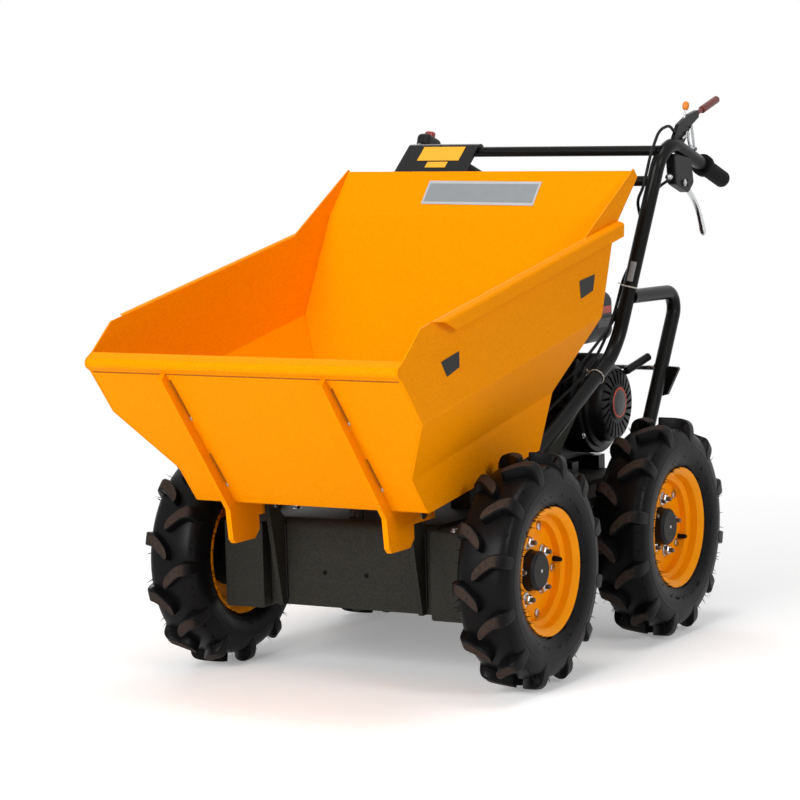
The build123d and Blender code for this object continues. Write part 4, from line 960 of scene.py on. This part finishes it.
# ---------------------------------------------------------------- skip
@dataclass
class Skip(Assembly):
    """The tipping skip: its sheets and ribs, side stripes, blank plate and rib welds.

    Places are millimetres with y from the front axle and z from the ground.
    """

    body: str = Body.SKIP.value
    wall_x: float = 310.5
    film_lean: Place = (0.0, -0.7, 0.7)
    plate_corners: tuple[Place, ...] = (
        (-113.2, 408.6, 828.6), (129.5, 405.6, 825.5), (128.6, 446.6, 868.6), (-114.5, 448.6, 870.7),
    )
    # (y, z) corners of each stripe
    bands: tuple[tuple[tuple[float, float], ...], ...] = (
        ((-291.9, 604.6), (-272.4, 577.5), (-228.1, 589.8), (-228.6, 616.9)),
        ((231.2, 700.1), (235.9, 667.1), (285.7, 678.6), (295.2, 708.0)),
    )

    def build(self) -> None:
        """Makes the sheets, films, plate and welds."""
        sheets = ("skip_back", "skip_front_floor", "skip_left_side", "skip_right_side", "skip_ribs")
        soften(SKIP_PAINT, *sheets, width=1.2 * MM, segments=3)
        self.stripes()
        self.plate()
        self.welds()

    def stripes(self) -> None:
        """Two black bands on each side wall."""
        for number, band in enumerate(self.bands):
            left = sticker(at(*[(self.wall_x, y, z) for y, z in band]))
            self.add(f"skip_stripe_{number}_left", left, BLACK_FILM)
            self.add(f"skip_stripe_{number}_right", mirrored(left), BLACK_FILM)

    def plate(self) -> None:
        """Blank silver plate on the upper back sheet, with a grey field inside its pale border."""
        step = np.array(self.film_lean) * FILM_STEP
        corners = at(*self.plate_corners) + step
        self.add("skip_blank_plate", sticker(corners, FILM_STEP), SILVER_FILM)
        centre = corners.mean(axis=0)
        inner = centre + (corners - centre) * np.array([0.965, 0.78, 0.78]) + step
        self.add("skip_plate_field", sticker(inner, 0.2 * MM), PLATE_FILM)

    def welds(self) -> None:
        """Stitch welds beside the ribs of the sloping front, with a bright painted highlight at the lower end
        of each, and a dark line of painted shadow under the lip.
        """
        runs = (
            ((-151, -413.5, 573.6), (-151, -355.1, 503.4)), ((-151, -296.9, 433.6), (-151, -247.3, 374.0)),
            ((167, -409.8, 569.1), (167, -357.6, 506.4)), ((167, -299.2, 436.3), (167, -252.7, 380.5)),
        )
        beads = [weld(*at(start, end), 1.6 * MM) for start, end in runs]
        self.add("skip_rib_welds", joined(beads), WELD_AND_SHADOW_PAINT)
        # Painted highlight: a bright zinc bead at the lower end of each weld stands for the glint there.
        ends = [weld(*at((x, y, z), (x, y + 6, z - 7)), 1.8 * MM) for _, (x, y, z) in runs]
        self.add("skip_rib_weld_ends", joined(ends), ZINC)
        # Painted shadow: a thin dark tube along the foot of the lip stands for the shade in the gap under the
        # lip's fold.
        shadow_line = tube(line(*at((-303, -422.2, 584.0), (303, -422.2, 584.0)), 8), 1.3 * MM, 8)
        self.add("skip_lip_seam", shadow_line, WELD_AND_SHADOW_PAINT)


# ---------------------------------------------------------------- chassis
@dataclass
class Chassis(Assembly):
    """Deck, chain cases, cross plate and tubes, guards and rests.

    Places are millimetres with y from the front axle and z from the ground.
    """

    bracket_y: float = -75.0
    bracket_top: float = 280.0
    guard_foot: Place = (225.0, 636.0, 284.5)
    spring_place: Place = (-20.0, -34.0, 289.5)

    def build(self) -> None:
        """Makes the plates, tubes and fastenings."""
        soften(
            FRAME_PAINT, "bearing_housings", "belt_cover", "chassis_deck", "front_cross_plate",
            "hinge_brackets", "left_chain_case", "right_chain_case", "skip_rests", "handle_brackets",
        )
        soften(TUBE_PAINT, "cross_tubes", "left_guard", "right_guard", "engine_bars")
        soften(ZINC, "guard_rod", "hinge_pins", width=0.5 * MM)
        self.beads()
        self.fastenings()
        self.spring()

    def beads(self) -> None:
        """Weld beads down both edges of the front brackets and round the feet of the guards.

        Each ring's radius swells fourteen times round it.
        """
        runs = []
        for side in (1, -1):
            for x, low, radius in ((139.0, 140.0, 2.4), (150.5, 140.0, 2.4), (174.0, 134.0, 2.0)):
                ends = at((side * x, self.bracket_y, low), (side * x, self.bracket_y, self.bracket_top))
                runs.append(weld(*ends, radius * MM))
        angles = np.linspace(0, 2 * np.pi, 49)
        x, y, z = self.guard_foot
        for side in (1, -1):
            ring = [side * x + 15.5 * np.cos(angles), y + 15.5 * np.sin(angles), np.full(len(angles), z)]
            runs.append(tube(at(*np.column_stack(ring)), (2.0 + 0.4 * np.sin(angles * 14)) * MM, 8))
        self.add("frame_weld_beads", joined(runs), TUBE_PAINT)

    def fastenings(self) -> None:
        """Cap screws on the chain cases, and the nuts at the guard rod's ends."""
        head = moved(bolt(6.5 * MM, 6 * MM), turn=facing((0, 0, 1)))
        left = ((214, -82), (196, 60), (232, 180), (214, 420))
        spots = [(side * x, y, 283.0) for side in (1, -1) for x, y in left]
        self.add("chain_case_screws", joined([moved(head, place) for place in at(*spots)]), ZINC)
        nut = bolt(7.0 * MM, 7 * MM, 4 * MM)
        ends = [moved(nut, at((side * 211.9, 757.8, 487.0))[0], facing((side, 0, 0))) for side in (1, -1)]
        self.add("guard_rod_nuts", joined(ends), ZINC)

    def spring(self) -> None:
        """Coil spring and latch rod over the front of the deck.

        The coil's middle line is (x + r cos a, y + r sin a, z + rise * a / its last a).
        """
        turns, radius, rise = 7, 6.5, 22
        x, y, z = self.spring_place
        angles = np.linspace(0, 2 * np.pi * turns, turns * 20)
        height = z + rise * angles / angles[-1]
        coil = np.column_stack([x + radius * np.cos(angles), y + radius * np.sin(angles), height])
        self.add("latch_spring", tube(at(*coil), 1.1 * MM, 8), DARK_STEEL)
        rod = tube(line(*at((-2, -34, 289), (-2, -34, 318)), 4), 3.2 * MM, 16)
        self.add("latch_rod", rod, BLACK_PLASTIC)


# ---------------------------------------------------------------- engine
@dataclass
class Engine(Assembly):
    """Engine, its tank, filter, muffler and gearbox.

    Places are millimetres with y from the front axle and z from the ground.
    """

    boss: Place = (178.2, 665.0, 427.0)
    shroud_middle: Place = (140.2, 646.0, 425.0)
    tank_x: float = 125.2
    label_y: tuple[float, float] = (682.0, 743.0)

    def build(self) -> None:
        """Makes the engine's parts."""
        soften(ENGINE_BLACK, "engine_block", "fan_shroud", "recoil_cover", "fuel_tank", "muffler")
        soften(BLACK_PLASTIC, "air_filter", "fuel_cap", "recoil_grip")
        soften(CAST_ALLOY, "carburettor")
        soften(CAST_DARK, "gearbox")
        self.badge()
        self.tank_label()
        self.screws()

    def badge(self) -> None:
        """Blank round badge on the starter's boss: a red ring round a grey disc."""
        place = at(self.boss)[0]
        ring = lathe(np.array([(0, 30.5), (0.5, 30.0), (0.5, 26.0), (0, 25.5)]) * MM, 48, closed=True)
        self.add("starter_badge_ring", moved(ring, place), RED_FILM)
        self.add("starter_badge_face", moved(disc(25.4 * MM, 0.45 * MM, 0.1 * MM, 48), place), GREY_FILM)

    def tank_label(self) -> None:
        """Blank two-colour label on the tank's left face."""
        near, far = self.label_y
        for name, low, high, finish in (("band", 597, 611, RED_FILM), ("field", 571, 596, GREY_FILM)):
            corners = [(near, low), (far, low), (far, high), (near, high)]
            self.add(f"tank_label_{name}", sticker(at(*[(self.tank_x, y, z) for y, z in corners])), finish)

    def screws(self) -> None:
        """Bright screws on the shroud's rim and the carburettor, and the throttle's links."""
        x, y, z = self.shroud_middle
        angles = np.radians((40, 130, 220, 310))
        spots = [(x, y + 88 * np.cos(angle), z + 84 * np.sin(angle)) for angle in angles]
        spots += [(86.0, 495.0, 480.0), (86.0, 512.0, 456.0)]
        head = bolt(4.2 * MM, 4.5 * MM)
        self.add("engine_screws", joined([moved(head, place) for place in at(*spots)]), ZINC)
        link = rounded(at((80, 486, 492), (88, 560, 500), (92, 612, 504)), 1, closed=False)
        arm = rounded(at((92, 530, 530), (96, 560, 526), (98, 590, 508), (96, 604, 500)), 2, closed=False)
        self.add("throttle_links", joined([tube(link, 1.6 * MM, 8), tube(arm, 1.8 * MM, 8)]), ZINC)


# ---------------------------------------------------------------- handlebars
@dataclass
class Handlebars(Assembly):
    """Handle tubes, grips, levers, console and its controls.

    Places are millimetres with y from the front axle and z from the ground. The foot, bend
    and crown lie on the left handle's middle line.
    """

    foot: Place = (200.0, 250.0, 371.5)
    bend: Place = (200.0, 603.0, 532.0)
    crown: Place = (275.0, 680.0, 944.0)
    console_edge: tuple[float, float] = (665.3, 930.6)
    console_lean: tuple[float, float] = (0.788, 0.616)
    label_rows: int = 10

    def build(self) -> None:
        """Makes the tubes, console and controls."""
        soften(TUBE_PAINT, "left_handle", "right_handle", "console", "control_bracket")
        soften(BLACK_PLASTIC, "lever_housings", "control_cables", "stop_body")
        soften(GRIP_RUBBER, "hand_grips")
        soften(RED_VINYL, "drive_lever")
        soften(RED_PLASTIC, "stop_knob")
        soften(ZINC, "throttle_lever")
        self.hand_levers()
        self.labels()
        self.ties()
        self.upright_label()
        self.controls()
        self.linkage()

    def hand_levers(self) -> None:
        """Cast levers that curve down from their housings and thicken to a rounded end."""
        route = ((776, 843), (790, 835), (812, 820), (834, 797), (850, 768), (860, 742))
        middle = at(*[(self.crown[0], y, z) for y, z in route])
        path = even(rounded(middle, 3, closed=False), 40)
        share = np.linspace(0, 1, len(path))
        close = np.clip((1 - share) / 0.06, 0.02, 1) ** 0.5
        half_width = (5.6 + 1.3 * np.clip((share - 0.7) / 0.3, 0, 1)) * close * MM
        half_depth = (5.0 - 1.6 * np.sin(np.pi * np.clip(share * 1.3, 0, 1))) * close * MM
        left = bar(path, half_width, half_depth)
        obj = self.add("cast_hand_levers", joined([left, mirrored(left)]), POLISHED, crease=50)
        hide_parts("hand_levers")

    def labels(self) -> None:
        """Blank yellow labels on the console's slope."""
        edge_y, edge_z = self.console_edge
        run, drop = self.console_lean
        for name, across, (low, high) in (("large", (-244, -150), (3, 45)), ("small", (-218, -172), (49, 66))):
            spots = ((across[0], high), (across[1], high), (across[1], low), (across[0], low))
            corners = at(*[(x, edge_y - run * length, edge_z - drop * length) for x, length in spots])
            corners += np.array([0, -drop, run]) * 0.25 * MM
            self.add(f"console_{name}_label", sticker(corners), YELLOW_FILM)

    def ties(self) -> None:
        """Nylon ties round the left handle and its cables, each with its cut tail."""
        runs = {"low": (self.foot, self.bend, 0.76), "high": (self.bend, self.crown, 0.305)}
        for name, (low, high, share) in runs.items():
            start, end = at(low, high)
            ahead = unit(end - start)
            side = unit(np.cross(ahead, np.array([0.0, 1.0, 0.0])))
            upward = np.cross(ahead, side)
            angles = np.linspace(0, 2 * np.pi, 41)[:, None]
            middle = start + (end - start) * share
            loop = middle + (side * np.cos(angles) + upward * np.sin(angles)) * 15.3 * MM
            tail = line(loop[4], loop[4] + (side * 0.7 + upward * 0.5 + ahead * 0.3) * 11 * MM, 5)
            self.add(f"cable_tie_{name}", joined([tube(loop, 1.4 * MM, 8), tube(tail, 1.1 * MM, 6)]), NYLON)

    def upright_label(self) -> None:
        """Blank silver label between the ties, wrapped round the front of the left upright."""
        start, end = at(self.bend, self.crown)
        ahead = unit(end - start)
        front = unit(np.array([0.0, -1.0, 0.0]) + ahead * ahead[1])
        side = np.cross(front, ahead)
        side *= np.sign(side[0])
        count = self.label_rows
        angles = np.radians(np.linspace(-14, 34, count))[:, None]
        around = front * np.cos(angles) + side * np.sin(angles)
        middle = start + (end - start) * np.linspace(0.33, 0.42, count)[:, None]
        layers = [(middle[:, None] + around * reach * MM).reshape(-1, 3) for reach in (14.0, 14.3)]
        total = count * count
        inner = [face[::-1] for face in grid_faces(count, count)]
        outer = [[number + total for number in face] for face in grid_faces(count, count)]
        border = [*range(count - 1), *range(count - 1, total - 1, count)]
        border += [*range(total - 1, total - count, -1), *range(total - count, 0, -count)]
        rim = [[a, b, b + total, a + total] for a, b in zip(border, border[1:] + border[:1])]
        self.add("upright_label", (np.concatenate(layers), inner + outer + rim), PLATE_FILM)

    def controls(self) -> None:
        """Throttle knob, and the pivot and the cable adjuster of each hand lever."""
        profile = [(-9.0, 4.0), (-8.0, 5.4), (-3.0, 6.6), (2.0, 6.8), (5.0, 6.0), (7.2, 3.6), (8.0, 1e-5)]
        knob = lathe(np.array(profile) * MM, 24)
        top = at((275.0, 784.0, 1002.0))[0]
        self.add("throttle_knob", moved(knob, top, facing((0, 0.33, 0.94))), ORANGE_PLASTIC, crease=60)
        head = bolt(5.0 * MM, 1.8 * MM)
        pivots = [moved(head, at((side * 288.0, 747.0, 853.0))[0], facing((side, 0, 0))) for side in (1, -1)]
        self.add("lever_pivots", joined(pivots), ZINC)
        barrel = [(0, 4.6), (4, 4.6), (4.6, 6.6), (11, 6.6), (11.6, 5.0), (17, 5.0), (18, 3.2)]
        adjuster = lathe(np.array(barrel) * MM, 18)
        spots = at((275.0, 709.0, 866.0), (-275.0, 709.0, 866.0))
        adjusters = [moved(adjuster, spot, facing((0, -1, 0))) for spot in spots]
        self.add("cable_adjusters", joined(adjusters), ZINC)

    def linkage(self) -> None:
        """Rods under the drive lever's bracket, each with a bolt at its end."""
        rods = (
            ((281, 796, 962), (281, 808, 916)), ((282, 774, 946), (282, 784, 922)),
            ((281, 784, 922), (281, 808, 916)), ((282, 748, 938), (282, 774, 946)),
        )
        shapes = []
        for start, end in rods:
            shapes.append(tube(line(*at(start, end), 3), 2.8 * MM, 10))
            shapes.append(moved(bolt(4.6 * MM, 4.0 * MM), at(end)[0], facing((1, 0, 0))))
        self.add("drive_linkage", joined(shapes), ZINC)


# ---------------------------------------------------------------- studio
@dataclass
class Studio:
    """Pale floor, soft lights and the camera."""

    camera_place: Place = (2.798, -5.043552, 1.115)
    yaw: float = 29.76
    pitch: float = 6.36
    roll: float = -1.44
    lens: float = 139.5
    sensor: float = 36.0
    floor_size: float = 30.0
    floor_lift: float = 0.25
    fade: tuple[float, float] = (1.0, 2.2)
    sky: float = 0.26
    # each lamp: name, place, size, power and what it points at
    lamp_rows: tuple[tuple[str, Place, float, float, Place], ...] = (
        ("key_lamp", (-0.6, -5.2, 2.4), 2.4, 190.0, (0.0, 0.0, 0.5)),
        ("side_lamp", (4.2, -1.9, 2.6), 1.4, 62.0, (0.0, 0.0, 0.4)),
        ("top_lamp", (0.4, -0.6, 4.6), 1.6, 60.0, (0.0, 0.0, 0.3)),
        ("back_lamp", (-3.4, 3.4, 3.2), 2.4, 60.0, (0.0, 0.0, 0.5)),
    )

    def build(self) -> None:
        """Makes the floor, the world, the lamps and the camera."""
        self.floor()
        self.world()
        self.lamps()
        self.camera()

    def seen(self, tree: Tree) -> Socket:
        """Where white is seen as the background: from the camera, in reflections and through clear matter.

        Args:
            tree: the tree that uses it.

        Returns:
            The socket, one for those rays and else zero.
        """
        rays = add_node(tree, "ShaderNodeLightPath").outputs
        every = rays["Is Camera Ray"]
        for name in ("Is Glossy Ray", "Is Transmission Ray"):
            every = add_node(tree, "ShaderNodeMath", {0: every, 1: rays[name]}, operation="MAXIMUM").outputs[0]
        return every

    def floor(self) -> None:
        """Pale floor with the object's shadow on it, fading to plain white away from the object."""
        half = self.floor_size / 2
        mesh = bpy.data.meshes.new("floor")
        corners = [(-half, -half, 0), (half, -half, 0), (half, half, 0), (-half, half, 0)]
        mesh.from_pydata(corners, [], [(0, 1, 2, 3)])
        obj = linked("floor", mesh)
        made = bpy.data.materials.new("pale_studio_floor")
        made.use_nodes = True
        tree = made.node_tree
        shader = tree.nodes["Principled BSDF"]
        shader.inputs["Base Color"].default_value = linear("#FAFAFA")
        shader.inputs["Roughness"].default_value = 0.9
        shader.inputs["Specular IOR Level"].default_value = 0.1
        shader.inputs["Emission Color"].default_value = (1, 1, 1, 1)
        seen = self.seen(tree)
        lift = add_node(tree, "ShaderNodeMath", {0: seen, 1: self.floor_lift}, operation="MULTIPLY")
        tree.links.new(lift.outputs[0], shader.inputs["Emission Strength"])
        place = add_node(tree, "ShaderNodeTexCoord").outputs["Object"]
        reach = add_node(tree, "ShaderNodeVectorMath", {0: place}, operation="LENGTH").outputs["Value"]
        span = {"Value": reach, "From Min": self.fade[0], "From Max": self.fade[1]}
        fade = add_node(tree, "ShaderNodeMapRange", span).outputs["Result"]
        share = add_node(tree, "ShaderNodeMath", {0: fade, 1: seen}, operation="MULTIPLY").outputs[0]
        white = add_node(tree, "ShaderNodeEmission", {"Strength": 1.0}).outputs[0]
        both = add_node(tree, "ShaderNodeMixShader", {0: share, 1: shader.outputs[0], 2: white}).outputs[0]
        tree.links.new(both, tree.nodes["Material Output"].inputs["Surface"])
        mesh.materials.append(made)

    def world(self) -> None:
        """Even soft light, full white where it is seen as the background."""
        world = bpy.data.worlds.new("studio")
        world.use_nodes = True
        tree = world.node_tree
        background = tree.nodes["Background"]
        background.inputs["Color"].default_value = (1, 1, 1, 1)
        span = {"Value": self.seen(tree), "To Min": self.sky, "To Max": 1.0}
        strength = add_node(tree, "ShaderNodeMapRange", span).outputs["Result"]
        tree.links.new(strength, background.inputs["Strength"])
        bpy.context.scene.world = world

    def lamps(self) -> None:
        """Key light in front of the machine, with weaker ones at its left, above it and behind it."""
        for name, place, size, power, target in self.lamp_rows:
            data = bpy.data.lights.new(name, "AREA")
            data.size = size
            data.energy = power
            lamp = linked(name, data)
            lamp.location = place
            ahead = np.array(target, float) - np.array(place)
            down = math.atan2(math.hypot(ahead[0], ahead[1]), -ahead[2])
            lamp.rotation_euler = (down, 0.0, math.atan2(ahead[0], -ahead[1]) + math.pi)

    def camera(self) -> None:
        """Camera with a long lens, in front of the machine, to its left and a little above its skip."""
        data = bpy.data.cameras.new("camera")
        data.lens = self.lens
        data.sensor_width = self.sensor
        data.clip_end = 60
        obj = linked("camera", data)
        yaw, pitch, roll = (math.radians(angle) for angle in (self.yaw, self.pitch, self.roll))
        ahead = np.array([-math.sin(yaw) * math.cos(pitch), math.cos(yaw) * math.cos(pitch), -math.sin(pitch)])
        right = np.array([math.cos(yaw), math.sin(yaw), 0.0])
        up = np.cross(right, ahead)
        turned = math.cos(roll) * right + math.sin(roll) * up
        upright = -math.sin(roll) * right + math.cos(roll) * up
        matrix = np.eye(4)
        matrix[:3, :3] = np.column_stack([turned, upright, -ahead])
        matrix[:3, 3] = self.camera_place
        obj.matrix_world = Matrix(matrix.tolist())
        bpy.context.scene.camera = obj


def main() -> None:
    """Builds the scene."""
    logging.basicConfig(level=logging.INFO, format="%(message)s")
    view = bpy.context.scene.view_settings
    view.view_transform = "Standard"
    wheels = [
        Wheel(f"{end}_{side.name.lower()}", side, turn)
        for end, turn in (("front", 31.0), ("rear", 5.0))
        for side in Side
    ]
    for part in (*wheels, Skip(), Chassis(), Engine(), Handlebars(), Studio()):
        part.build()
        LOG.info("%s: built", type(part).__name__)


if __name__ == "__main__":
    main()
